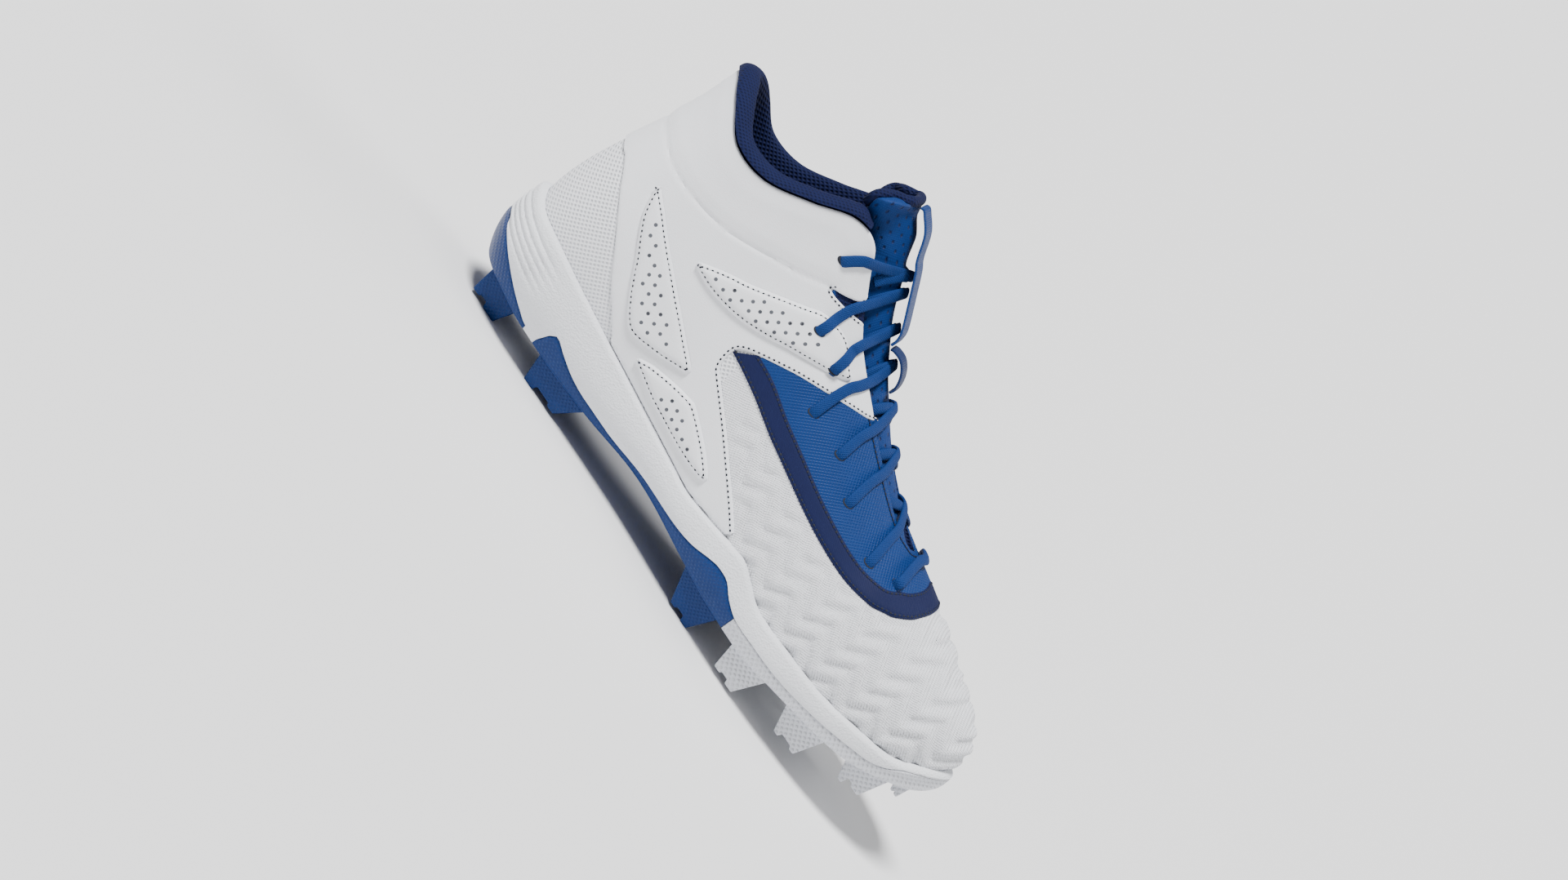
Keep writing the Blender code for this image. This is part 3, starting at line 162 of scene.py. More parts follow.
def centre_y(x):
    """The middle line of the forefoot turns towards the big toe."""
    return TOE_TURN * np.clip(np.asarray(x, float) / (LENGTH / 2), 0, 1) ** 1.5


def section_points():
    """The four control points of each section's curve, round the shoe: outer half, then inner half back."""
    table = {name: np.array([row[i] for row in SECTIONS]) for i, name in enumerate(SECTION_COLUMNS)}
    rows = list(range(LAST_ROW + 1)) + list(range(LAST_ROW - 1, 0, -1))
    side = np.array([OUTER] * (LAST_ROW + 1) + [INNER] * (LAST_ROW - 1))
    pick = {name: values[rows] for name, values in table.items()}
    foot_y = np.where(side == OUTER, pick["outer_y"], pick["inner_y"]) * BALL_WIDTH
    foot = np.stack([pick["foot_x"] * LENGTH, foot_y, height(along(BED_LINE, pick["foot_x"]))], 1)
    top_x = pick["top_x"] * LENGTH
    top = np.stack([top_x, centre_y(top_x) + side * pick["top_half"] * BALL_WIDTH, height(pick["top_z"])], 1)
    tangent = np.roll(foot, -1, 0) - np.roll(foot, 1, 0)
    outward = np.stack([tangent[:, 1], -tangent[:, 0], np.zeros(len(foot))], 1)
    outward /= np.linalg.norm(outward, axis=1)[:, None]
    tall = (top[:, 2] - foot[:, 2])[:, None] * np.array([0.0, 0.0, 1.0])
    low = foot + outward * (pick["low_bulge"] * BALL_WIDTH)[:, None] + tall * pick["low_rise"][:, None]
    fall = tall * (1 - pick["high_rise"])[:, None]
    high = top + outward * (pick["high_bulge"] * BALL_WIDTH)[:, None] - fall
    return np.stack([foot, low, high, top], 1), outward


CONTROL, OUTWARD = section_points()


def through(values, u):
    """Values given at each section, read at any row with a smooth curve round the shoe."""
    i = np.floor(u).astype(int)
    f = (u - i).reshape(u.shape + (1,) * (values.ndim - 1))
    p0, p1, p2, p3 = (values[(i + j) % ROUND] for j in (-1, 0, 1, 2))
    return p1 + 0.5 * f * (p2 - p0 + f * (2 * p0 - 5 * p1 + 4 * p2 - p3 + f * (3 * (p1 - p2) + p3 - p0)))


def upper_point(row, reach):
    """The upper's outer face. Rows beyond LAST_ROW come back along the inner side."""
    u, t = np.broadcast_arrays(np.asarray(row, float), np.asarray(reach, float))
    c = through(CONTROL, u)
    over_toes = (u % ROUND > THROAT_END_ROW) & (u % ROUND < ROUND - THROAT_END_ROW)
    c[..., 3, 1] = np.where(over_toes, centre_y(c[..., 3, 0]), c[..., 3, 1])
    t = t[..., None]
    s = 1 - t
    shares = (s**3, 3 * s**2 * t, 3 * s * t**2, t**3)
    return sum(share * c[..., i, :] for i, share in enumerate(shares))


def unit(vectors):
    return vectors / np.linalg.norm(vectors, axis=-1)[..., None]


def upper_normal(row, reach):
    """The outward direction of the upper's face; both halves share it along the ridge over the toes."""
    u, t = np.broadcast_arrays(np.asarray(row, float), np.asarray(reach, float))

    def raw(u):
        t_in = np.clip(t, 0.01, 0.985)
        around = upper_point(u + 0.02, t_in) - upper_point(u - 0.02, t_in)
        upward = upper_point(u, t_in + 0.005) - upper_point(u, t_in - 0.005)
        return unit(np.cross(around, upward))

    over_toes = (u % ROUND > THROAT_END_ROW - 0.01) & (u % ROUND < ROUND - THROAT_END_ROW + 0.01)
    share = np.clip((t - 0.88) / 0.12, 0, 1)[..., None] * over_toes[..., None] / 2
    return unit(raw(u) * (1 - share) + raw(ROUND - u) * share)


def off_upper(row, reach, offset):
    """A point at a distance outside the upper's face, or inside it where the offset is negative."""
    return upper_point(row, reach) + upper_normal(row, reach) * np.asarray(offset)[..., None]


def place_on_upper(x, z, side):
    """The row and reach that lie at x and z in the side view, shares of LENGTH and HEEL_HEIGHT."""
    rows, reaches = np.meshgrid(np.linspace(0.2, 15, 149), np.linspace(0, 1, 81), indexing="ij")
    seen = upper_point(rows, reaches)
    places = []
    for target_x, target_z in zip(np.ravel(x) * LENGTH, height(np.ravel(z))):
        nearest = np.argmin((seen[..., 0] - target_x) ** 2 + (seen[..., 2] - target_z) ** 2)
        place = np.array([rows.flat[nearest], reaches.flat[nearest]])
        for _ in range(3):
            here = upper_point(*place)
            step = 0.01
            d_row = (upper_point(place[0] + step, place[1]) - here) / step
            d_reach = (upper_point(place[0], place[1] + step) - here) / step
            slope = np.array([[d_row[0], d_reach[0]], [d_row[2], d_reach[2]]])
            place = place + np.linalg.solve(slope, [target_x - here[0], target_z - here[2]])
        places.append(place)
    places = np.array(places).reshape(np.shape(x) + (2,))
    row = places[..., 0] if side == OUTER else ROUND - places[..., 0]
    return row, np.clip(places[..., 1], 0, 1)


# Edges of the white overlay of heel, ankle and quarter in side view, x and z shares. Below, it follows the
# rim. The slot runs from under the top lace's finger to the collar.
QUARTER_REAR = ((-0.464, 0.543), (-0.448, 0.524), (-0.424, 0.483), (-0.391, 0.428), (-0.358, 0.369),
                (-0.327, 0.309), (-0.295, 0.261), (-0.266, 0.215))
QUARTER_FRONT = ((0.055, 0.200), (0.029, 0.235), (-0.003, 0.274), (-0.068, 0.350), (-0.133, 0.422),
                 (-0.147, 0.441), (-0.153, 0.471), (-0.155, 0.506), (-0.149, 0.528), (-0.133, 0.553),
                 (-0.100, 0.595), (-0.068, 0.630), (-0.008, 0.680), (0.023, 0.700), (0.033, 0.712))
FINGER_SLOT = ((-0.0925, 0.857), (-0.112, 0.849), (-0.139, 0.843), (-0.150, 0.848), (-0.131, 0.868),
               (-0.112, 0.892), (-0.113, 0.905))
# Edges of the vamp's trim band on the outer half: row and reach. The inner half has the same.
TRIM_OUTER_EDGE = ((6.60, 0.410), (7.35, 0.405), (8.28, 0.408), (9.28, 0.420), (10.18, 0.427),
                   (11.08, 0.445), (12.08, 0.478), (12.75, 0.497), (13.70, 0.522), (14.23, 0.552),
                   (14.78, 0.633), (15.10, 0.705), (15.45, 0.807), (15.68, 0.905), (15.85, 1.000))
TRIM_INNER_EDGE = ((7.20, 0.475), (7.65, 0.482), (8.45, 0.497), (9.45, 0.515), (10.33, 0.527),
                   (11.20, 0.552), (12.00, 0.583), (12.60, 0.604), (13.20, 0.625), (13.65, 0.645),
                   (14.10, 0.685), (14.40, 0.735), (14.70, 0.820), (14.87, 0.912), (14.95, 1.000))

# Tongue, a row per station from its tip: the row and reach of its side edge, how deep the edge lies
# inside the upper as a share of COLLAR_PAD, the row of its middle, a rise above the collar as a share of
# HEEL_HEIGHT, its middle's place over the throat's edge (forward a share of LENGTH, crown of HEEL_HEIGHT)
# and its share of TONGUE_THICKNESS.
TONGUE = (
    (14.60, 0.84, 0.20, 14.60, 0.000, 0.000, -0.036, 0.60),
    (14.00, 0.84, 0.20, 14.00, 0.000, 0.000, -0.030, 0.70),
    (13.00, 0.84, 0.20, 13.00, 0.000, 0.000, -0.012, 0.80),
    (12.00, 0.84, 0.20, 12.00, 0.000, 0.000, 0.006, 0.90),
    (11.00, 0.84, 0.20, 11.00, 0.000, 0.000, 0.020, 1.00),
    (10.00, 0.84, 0.20, 10.00, 0.000, 0.000, 0.047, 1.00),
    (9.00, 0.86, 0.20, 9.00, 0.000, 0.010, 0.070, 1.10),
    (8.00, 0.90, 0.25, 8.00, 0.000, 0.020, 0.070, 1.20),
    (7.00, 0.94, 1.45, 7.20, 0.000, 0.034, 0.035, 1.30),
    (6.30, 0.98, 1.45, 6.60, 0.010, 0.038, 0.080, 1.30),
    (6.00, 1.00, 0.70, 6.30, 0.075, 0.028, 0.120, 1.10),
    (6.20, 1.00, 0.75, 6.40, 0.105, 0.018, 0.138, 0.90),
    (6.45, 1.00, 1.55, 6.50, 0.128, 0.010, 0.146, 0.50),
)
TONGUE_SPAN = 0.55
TONGUE_UNDER = WALL + GAP + LACE_THICKNESS


def tongue_half(station, side, depth, t):
    """Points from the tongue's side edge, t = 0, to its middle, t = 1, at a depth below its outer face."""
    edge_row, edge_reach, edge_in, mid_row, rise, forward, crown, _, spread = station
    turn = edge_row if side == OUTER else ROUND - edge_row
    mid_turn = mid_row if side == OUTER else ROUND - mid_row
    lift = np.array([0.0, 0.0, rise * HEEL_HEIGHT])
    edge = off_upper(turn, edge_reach, -TONGUE_UNDER - COLLAR_PAD * edge_in - depth) + lift
    hand = off_upper(mid_turn, 1.0, -TONGUE_UNDER - depth) + lift
    top = upper_point(mid_row, 1.0)
    middle = np.array([top[0] + forward * LENGTH, centre_y(top[0]), top[2] + crown * HEEL_HEIGHT])
    middle = middle - unit(np.array([1.0, 0.0, 1.0])) * depth
    near = middle + np.array([0.0, (hand[1] - middle[1]) * TONGUE_SPAN, 0.0])
    t = np.asarray(t, float)[:, None]
    s = 1 - t
    made = s**3 * edge + 3 * s**2 * t * hand + 3 * s * t**2 * near + t**3 * middle
    made[:, 1] = middle[1] + (made[:, 1] - middle[1]) * spread
    return made


def tongue_point(place, side_share, rise):
    """A point over the tongue: side_share runs from its outer edge, -1, to its inner edge, 1."""
    side = OUTER if side_share < 0 else INNER
    return tongue_half(tongue_station(place), side, -rise, [1 - abs(side_share)])[0]


def tongue_normal(place, side_share):
    """The outward direction of the tongue's face."""
    forward = tongue_point(place - 0.2, side_share, 0.0) - tongue_point(place + 0.2, side_share, 0.0)
    inward = tongue_point(place, side_share + 0.03, 0.0) - tongue_point(place, side_share - 0.03, 0.0)
    return unit(np.cross(forward, inward))


# Straps on the middle of the tongue: a place along it and a rise above its face, as a share of STRAP_WIDTH.
PULL_STRAP = ((11.60, 0.10), (11.20, 0.20), (10.20, 0.30), (9.20, 0.34), (8.20, 0.36), (7.30, 0.39),
              (6.60, 0.44), (6.20, 0.44), (5.98, 0.38), (5.84, 0.26), (5.76, 0.12))
LACE_KEEPER = ((5.68, 0.10), (5.64, 0.24), (5.52, 0.42), (5.35, 0.47), (5.18, 0.40), (5.04, 0.24),
               (4.99, 0.10))


# Laces: the eyelet's row and reach, the row where the lace leaves the upper over the throat's edge, the
# tongue's place at its middle, and the place at the far side where it goes down under the edge.
LACES = (
    (6.83, 0.865, 7.52, 7.12, 7.00),
    (8.05, 0.718, 8.40, 6.68, 6.60),
    (9.03, 0.770, 9.05, 6.02, 5.92),
    (9.35, 0.638, 9.72, 5.38, 5.42),
    (10.30, 0.700, 10.42, 4.72, 4.95),
    (11.03, 0.667, 11.12, 4.05, 4.25),
    (12.23, 0.650, 12.20, 3.15, 3.60),
)
LACE_BAR = ((13.58, 0.693), (13.80, 0.800), (14.05, 0.900), (14.30, 1.000))
BAR_LIFT = BAND_SEAT + PANEL_THICKNESS + 2 * GAP + LACE_THICKNESS / 2

RIM_STATION = 0.0085
BAND_CLEARANCE = 0.0012


def side_frame(u):
    """The foot line's points, outward directions and rim stations, for rows u round the shoe."""
    foot = upper_point(u, 0.0)
    outward = unit(through(OUTWARD, u))
    station = (foot[..., 0] + outward[..., 0] * RIM_STATION) / LENGTH
    return foot, outward, station


class Side:
    """One side of the sole at row u: its heights, and its outline as a distance outside the foot line."""

    def __init__(self, u):
        self.foot, self.outward, x = side_frame(np.asarray(float(u)))
        self.u = float(u)
        self.rim = float(height(along(RIM_LINE, x)))
        self.plate = float(height(along(PLATE_LINE, x)))
        self.band = min(float(height(along(BAND_LINE, x))), self.rim - BAND_CLEARANCE)
        self.bed = float(self.foot[2])
        self.tuck = float(along(TUCK_LINE, x)) * BALL_WIDTH
        reaches = np.linspace(0, 0.6, 61)
        self.rim_reach = float(np.interp(self.rim, upper_point(self.u, reaches)[:, 2], reaches))
        self.lip = float(np.dot(upper_point(self.u, self.rim_reach) - self.foot, self.outward)) + SEAT

    def at(self, distance, z):
        """A point at a distance outside the foot line."""
        point = self.foot + self.outward * distance
        return np.array([point[0], point[1], z])

    def width(self, z):
        """The sole's outer face as a distance outside the foot line."""
        h = np.clip((z - self.plate) / (self.rim - self.plate), 0, 1)
        full = self.lip + RIM_THICKNESS
        return full - self.tuck * (1 - h) ** SIDE_POWER + SIDE_SWELL * BALL_WIDTH * math.sin(math.pi * h)

    def skin(self, z, inset=0.0):
        return self.at(self.width(z) - inset, z)


# Studs in side view, from back to front: root_back, root_front, then rear_back, rear_front, front_back
# and front_front of the tip's two feet, as shares of LENGTH; rear_z and front_z, the feet's heights above
# the ground as shares of STUD_HEIGHT. The tip is stepped between its feet.
STUDS = {
    "heel": ((-0.440, -0.368, -0.434, -0.4205, -0.4045, -0.380, 0.11, 0.00),),
    "mid": ((-0.3055, -0.1985, -0.289, -0.270, -0.2395, -0.226, 0.00, 0.11),
            (0.0475, 0.1405, 0.081, 0.091, 0.109, 0.1225, 0.09, 0.00)),
    "front": ((0.174, 0.248, 0.187, 0.199, 0.215, 0.230, 0.18, 0.13),
              (0.2815, 0.361, 0.308, 0.317, 0.3405, 0.3495, 0.44, 0.52),
              (0.392, 0.458, 0.414, 0.422, 0.434, 0.450, 0.98, 1.18)),
}
TOE_STUD = (0.462, 0.488, 0.472, 0.476, 0.480, 0.486, 1.85, 1.85)
TOE_STUD_HALF, TOE_STUD_TAPER = 0.008, 0.7
STUD_STEP = 0.09
STUD_STEP_RUN = 0.002
STUD_INSET = 0.0012
STUD_LEAN = 0.0022


def plate_edge(x_share, side):
    """How far out the sole's bottom edge lies at x, on one side."""
    rows = np.linspace(0.3, LAST_ROW - 0.3, 80)
    rows = rows if side == OUTER else ROUND - rows
    points = np.array([Side(u).skin(Side(u).plate) for u in rows])
    return float(np.interp(x_share * LENGTH, points[:, 0], points[:, 1]))


def stud_rings(stud, y_root, y_tip):
    """The stud's side outline at its outer and inner face; each face leans from root to tip."""
    root_back, root_front, rear_back, rear_front, front_back, front_front, rear_z, front_z = stud
    mid_z = max(rear_z, front_z) + STUD_STEP
    root = [float(height(along(PLATE_LINE, x))) + PLATE_THICKNESS / 2 for x in (root_back, root_front)]
    rear_z, mid_z, front_z = (share * STUD_HEIGHT for share in (rear_z, mid_z, front_z))
    step = ((rear_front + STUD_STEP_RUN, mid_z), (front_back - STUD_STEP_RUN, mid_z))
    outline = ((root_back, root[0]), (rear_back, rear_z), (rear_front, rear_z)) + step
    outline += ((front_back, front_z), (front_front, front_z), (root_front, root[1]))
    low, high = min(rear_z, front_z), max(root)
    rings = []
    for at_root, at_tip in zip(y_root, y_tip):
        lean = (at_root - at_tip) / (high - low)
        rings.append([(x * LENGTH, at_tip + lean * (z - low), z) for x, z in outline])
    return rings


# Small helpers for lines and surfaces

def smooth(points, per=8, closed=False):
    """A Catmull-Rom curve through the points."""
    p = np.asarray(points, float)
    n = len(p)
    count = n if closed else n - 1
    out = []
    for i in range(count):
        ids = [(i + j) % n if closed else min(max(i + j, 0), n - 1) for j in (-1, 0, 1, 2)]
        a, b, c, d = p[ids]
        for f in np.arange(per) / per:
            out.append(b + 0.5 * f * (c - a + f * (2 * a - 5 * b + 4 * c - d + f * (3 * (b - c) + d - a))))
    if not closed:
        out.append(p[-1])
    return np.array(out)


def even(line, spacing, closed=False):
    """The line's points at an even spacing; what follows the first three columns is carried along."""
    line = np.asarray(line, float)
    if closed:
        line = np.concatenate([line, line[:1]])
    steps = np.linalg.norm(np.diff(line[:, :3], axis=0), axis=1)
    run = np.concatenate([[0], np.cumsum(steps)])
    count = max(2, int(round(run[-1] / spacing)))
    at = np.linspace(0, run[-1], count + 1)
    made = np.stack([np.interp(at, run, line[:, k]) for k in range(line.shape[1])], 1)
    return made[:-1] if closed else made


def distance_to(points, lines):
    """Each point's distance to the nearest of the lines."""
    best = np.full(len(points), 1e9)
    for line in lines:
        a, b = line[:-1], line[1:]
        ab = b - a
        size = np.maximum(np.sum(ab**2, 1), 1e-18)
        for start in range(0, len(points), 3000):
            p = points[start:start + 3000, None, :]
            f = np.clip(np.sum((p - a) * ab, 2) / size, 0, 1)
            away = np.linalg.norm(p - a - f[..., None] * ab, axis=2).min(1)
            best[start:start + 3000] = np.minimum(best[start:start + 3000], away)
    return best


def inside(points, loop):
    """Whether each flat point lies inside a closed loop."""
    x, y = points[:, 0][:, None], points[:, 1][:, None]
    a, b = loop, np.roll(loop, -1, 0)
    spans = (a[:, 1] > y) != (b[:, 1] > y)
    rise = np.where(b[:, 1] == a[:, 1], 1e-12, b[:, 1] - a[:, 1])
    cross = (b[:, 0] - a[:, 0]) * (y - a[:, 1]) / rise + a[:, 0]
    return np.sum(spans & (x < cross), 1) % 2 == 1


def smoothstep(low, high, value):
    f = np.clip((value - low) / (high - low), 0, 1)
    return f * f * (3 - 2 * f)


def places(points):
    """Rows and reaches of side-view places."""
    points = np.asarray(points, float)
    row, reach = place_on_upper(points[:, 0], points[:, 1], OUTER)
    return np.stack([row, reach], 1)


def side_view(place):
    """Side-view metres of places, read on the outer half whatever their side."""
    at = upper_point(np.abs(place[:, 0]), place[:, 1])
    return at[:, [0, 2]]


# Materials

SHINE = 0.22


class Look:
    """A Principled material whose colour, roughness and bump are built up from patterns."""

    def __init__(self, name, colour, roughness, coords="Object", **sockets):
        self.material = bpy.data.materials.new(name)
        self.material.use_nodes = True
        tree = self.material.node_tree
        self.nodes, self.links = tree.nodes, tree.links
        self.shader = self.nodes["Principled BSDF"]
        self.shader.inputs["Base Color"].default_value = (*colour, 1)
        self.shader.inputs["Roughness"].default_value = roughness
        self.shader.inputs["Specular IOR Level"].default_value = SHINE
        for socket, value in sockets.items():
            self.shader.inputs[socket.replace("_", " ")].default_value = value
        self.place = self.nodes.new("ShaderNodeTexCoord").outputs[coords]
        self.colour = None
        self.base = colour
        self.normal = None

    def put(self, value, socket):
        if isinstance(value, (int, float)):
            socket.default_value = value
        else:
            self.links.new(value, socket)

    def math(self, operation, a, b=0.0, c=0.0):
        node = self.nodes.new("ShaderNodeMath")
        node.operation = operation
        for value, socket in zip((a, b, c), node.inputs):
            self.put(value, socket)
        return node.outputs[0]

    def along(self, direction):
        node = self.nodes.new("ShaderNodeVectorMath")
        node.operation = "DOT_PRODUCT"
        self.links.new(self.place, node.inputs[0])
        node.inputs[1].default_value = direction
        return node.outputs["Value"]

    def wave(self, direction, pitch):
        """A sine wave from 0 to 1 across a direction."""
        angle = self.math("MULTIPLY", self.along(direction), 2 * math.pi / pitch)
        return self.math("MULTIPLY_ADD", self.math("SINE", angle), 0.5, 0.5)

    def noise(self, size, detail=2.0):
        node = self.nodes.new("ShaderNodeTexNoise")
        self.links.new(self.place, node.inputs["Vector"])
        node.inputs["Scale"].default_value = 1 / size
        node.inputs["Detail"].default_value = detail
        return node.outputs["Fac"]

    def cells(self, size):
        node = self.nodes.new("ShaderNodeTexVoronoi")
        self.links.new(self.place, node.inputs["Vector"])
        node.inputs["Scale"].default_value = 1 / size
        return node.outputs["Distance"]

    def bump(self, pattern, depth):
        node = self.nodes.new("ShaderNodeBump")
        node.inputs["Distance"].default_value = depth
        node.inputs["Strength"].default_value = 1.0
        self.links.new(pattern, node.inputs["Height"])
        if self.normal is not None:
            self.links.new(self.normal, node.inputs["Normal"])
        self.normal = node.outputs["Normal"]
        self.links.new(self.normal, self.shader.inputs["Normal"])
        return self

    def tint(self, pattern, colour, amount=1.0):
        """Mixes another colour in where the pattern is high."""
        node = self.nodes.new("ShaderNodeMix")
        node.data_type = "RGBA"
        self.put(self.math("MULTIPLY", pattern, amount), node.inputs["Factor"])
        if self.colour is None:
            node.inputs[6].default_value = (*self.base, 1)
        else:
            self.links.new(self.colour, node.inputs[6])
        node.inputs[7].default_value = (*colour, 1)
        self.colour = node.outputs[2]
        self.links.new(self.colour, self.shader.inputs["Base Color"])
        return self

    def rough(self, pattern, low, high):
        """Roughness from low to high as the pattern goes from 0 to 1."""
        self.links.new(self.math("MULTIPLY_ADD", pattern, high - low, low), self.shader.inputs["Roughness"])
        return self

    def sharpen(self, pattern, power):
        return self.math("POWER", pattern, power)


WHITE, SHADE = (0.83, 0.84, 0.87), (0.60, 0.62, 0.68)
BLUE, BLUE_DEEP, BLUE_LIGHT = (0.0005, 0.024, 0.130), (0.0003, 0.012, 0.070), (0.003, 0.050, 0.215)
NAVY, NAVY_HOLLOW_SHADE, NAVY_LIGHT = (0.0015, 0.0048, 0.040), (0.0005, 0.0015, 0.013), (0.005, 0.012, 0.08)
KNIT_GREY, MESH_HOLLOW_SHADE, LEATHER_GREY = (0.76, 0.775, 0.82), (0.46, 0.48, 0.54), (0.775, 0.785, 0.825)
FOAM_WHITE, FOAM_GREY = (0.80, 0.815, 0.845), (0.74, 0.755, 0.80)
RUBBER_WHITE, RUBBER_LIGHT, RUBBER_DEEP = (0.66, 0.675, 0.72), (0.86, 0.87, 0.90), (0.50, 0.52, 0.57)
TONGUE_HOLE_SHADE, INSOLE_NAVY, FLOOR_GREY = (0.002, 0.012, 0.07), (0.010, 0.018, 0.08), (0.86, 0.86, 0.865)
SLOPE = math.sqrt(0.5)


def knit_look():
    look = Look("knit_white", WHITE, 0.85, Sheen_Weight=0.15, Sheen_Roughness=0.5)
    ribs = look.wave((0.80, 0.0, 0.60), 1.15 * MM)
    cross = look.wave((-0.45, 0.55, 0.75), 0.9 * MM)
    look.tint(look.noise(6 * MM, 3), KNIT_GREY, 0.5)
    look.tint(look.sharpen(ribs, 2.0), SHADE, 0.22)
    return look.bump(ribs, 0.32 * MM).bump(cross, 0.14 * MM).bump(look.noise(0.7 * MM), 0.16 * MM).material


def mesh_look():
    look = Look("mesh_white", WHITE, 0.8, Sheen_Weight=0.1)
    a, b = look.wave((SLOPE, 0, SLOPE), 1.7 * MM), look.wave((SLOPE, 0, -SLOPE), 1.7 * MM)
    diamond = look.math("MULTIPLY", a, b)
    # Painted shade: the mesh's sunken diamonds are darkened where the bump presses them in.
    look.tint(look.sharpen(diamond, 1.5), MESH_HOLLOW_SHADE, 0.75)
    return look.bump(diamond, -0.60 * MM).bump(look.noise(0.5 * MM), 0.08 * MM).material


def leather_look(name, roughness=0.5):
    look = Look(name, WHITE, roughness, Coat_Weight=0.08, Coat_Roughness=0.4)
    look.tint(look.noise(14 * MM, 4), LEATHER_GREY, 0.45)
    look.rough(look.noise(3 * MM), roughness - 0.08, roughness + 0.1)
    return look.bump(look.cells(0.55 * MM), 0.05 * MM).bump(look.noise(0.35 * MM, 3), 0.05 * MM).material


def ripstop_look(name, base, light, deep):
    look = Look(name, base, 0.55)
    a, b = look.wave((0.80, 0.30, 0.52), 1.25 * MM), look.wave((0.75, -0.30, -0.60), 1.25 * MM)
    weave = look.math("MAXIMUM", look.sharpen(a, 4.0), look.sharpen(b, 4.0))
    look.tint(weave, light, 0.45)
    look.tint(look.noise(9 * MM, 3), deep, 0.35)
    return look.bump(weave, 0.12 * MM).bump(look.noise(0.4 * MM), 0.04 * MM).material


def trim_look():
    look = Look("trim_navy", NAVY, 0.6)
    look.tint(look.noise(7 * MM, 3), NAVY_LIGHT, 0.22)
    ribs = look.wave((0.75, 0.25, 0.6), 0.8 * MM)
    return look.bump(ribs, 0.05 * MM).bump(look.noise(0.3 * MM), 0.05 * MM).material


def lining_look(name="lining_navy", colour=NAVY):
    look = Look(name, colour, 0.8)
    a, b = look.wave((0.5, 0.62, 0.6), 1.5 * MM), look.wave((0.62, -0.5, -0.6), 1.5 * MM)
    knit = look.math("MULTIPLY", a, b)
    # Painted shade: the knit's sunken cells are darkened where the bump presses them in.
    look.tint(look.sharpen(knit, 1.2), NAVY_HOLLOW_SHADE, 0.85)
    look.tint(look.noise(5 * MM), NAVY_LIGHT, 0.25)
    return look.bump(knit, -0.4 * MM).material


def tongue_look():
    look = Look("tongue_blue", BLUE, 0.65, coords="UV", Sheen_Weight=0.03, Sheen_Roughness=0.45)
    weave = look.math("MULTIPLY", look.wave((1, 0, 0), 1.0 * MM), look.wave((0, 1, 0), 1.0 * MM))
    dash = look.math("MULTIPLY", look.wave((0.7, 1, 0), 5.6 * MM), look.wave((0.7, -1, 0), 5.6 * MM))
    hole = look.sharpen(dash, 7.0)
    look.tint(weave, BLUE_LIGHT, 0.25)
    # Painted shade: the tongue's punched holes, sunk by the bump, are filled with a near-black blue.
    look.tint(look.math("MINIMUM", look.math("MULTIPLY", hole, 3.0), 1.0), TONGUE_HOLE_SHADE, 0.9)
    return look.bump(weave, 0.1 * MM).bump(hole, -0.5 * MM).material


def lace_look():
    look = Look("lace_blue", BLUE, 0.7, coords="UV", Sheen_Weight=0.02, Sheen_Roughness=0.4)
    a, b = look.wave((1, 0.9, 0), 1.1 * MM), look.wave((1, -0.9, 0), 1.1 * MM)
    braid = look.math("MAXIMUM", look.sharpen(a, 2.0), look.sharpen(b, 2.0))
    look.tint(braid, BLUE_LIGHT, 0.40)
    look.tint(look.noise(4 * MM), BLUE_DEEP, 0.25)
    return look.bump(braid, 0.20 * MM).material


def webbing_look(name, base, light):
    look = Look(name, base, 0.6, coords="UV", Sheen_Weight=0.1, Sheen_Roughness=0.4)
    ribs = look.wave((1, 0, 0), 0.9 * MM)
    cross = look.wave((0.25, 1, 0), 0.8 * MM)
    look.tint(ribs, light, 0.3)
    return look.bump(ribs, 0.12 * MM).bump(cross, 0.08 * MM).material


def foam_look():
    look = Look("foam_white", FOAM_WHITE, 0.62)
    look.tint(look.noise(20 * MM, 3), FOAM_GREY, 0.4)
    return look.bump(look.cells(0.9 * MM), 0.26 * MM).bump(look.noise(0.45 * MM, 3), 0.20 * MM).material


def knurl_look(name, base, light, deep, pitch=1.5 * MM, depth=0.22 * MM):
    look = Look(name, base, 0.45, Coat_Weight=0.05, Coat_Roughness=0.35)
    a, b = look.wave((SLOPE, 0.2, SLOPE), pitch), look.wave((SLOPE, -0.2, -SLOPE), pitch)
    knurl = look.math("MULTIPLY", a, b)
    look.tint(knurl, light, 0.18)
    look.tint(look.noise(10 * MM, 3), deep, 0.35)
    return look.bump(knurl, depth).bump(look.noise(0.5 * MM), 0.04 * MM).material


def plain_look(name, colour, roughness):
    look = Look(name, colour, roughness)
    return look.bump(look.noise(0.3 * MM), 0.03 * MM).material


KNIT, MESH = knit_look(), mesh_look()
LEATHER, PAD_LEATHER = leather_look("synthetic_white"), leather_look("pad_white", 0.42)
RIPSTOP, TRIM, LINING = ripstop_look("ripstop_blue", BLUE, BLUE_LIGHT, BLUE_DEEP), trim_look(), lining_look()
TONGUE_LOOK, LACE, WEBBING = tongue_look(), lace_look(), webbing_look("strap_blue", BLUE, BLUE_LIGHT)
WEBBING_NAVY = webbing_look("strap_navy", BLUE_DEEP, BLUE)
FOAM = foam_look()
STUD_BLUE = knurl_look("stud_blue", BLUE, BLUE_LIGHT, BLUE_DEEP)
STUD_WHITE = knurl_look("stud_white", RUBBER_WHITE, RUBBER_LIGHT, RUBBER_DEEP, 2.0 * MM, 0.6 * MM)
THREAD_WHITE = plain_look("thread_white", (0.72, 0.73, 0.77), 0.7)
THREAD_NAVY = plain_look("thread_navy", (0.004, 0.010, 0.06), 0.6)
# Painted shade: dark grey for the inside of the pads' pinholes.
PINHOLE_SHADE = plain_look("pinhole_shade", (0.09, 0.095, 0.11), 0.9)
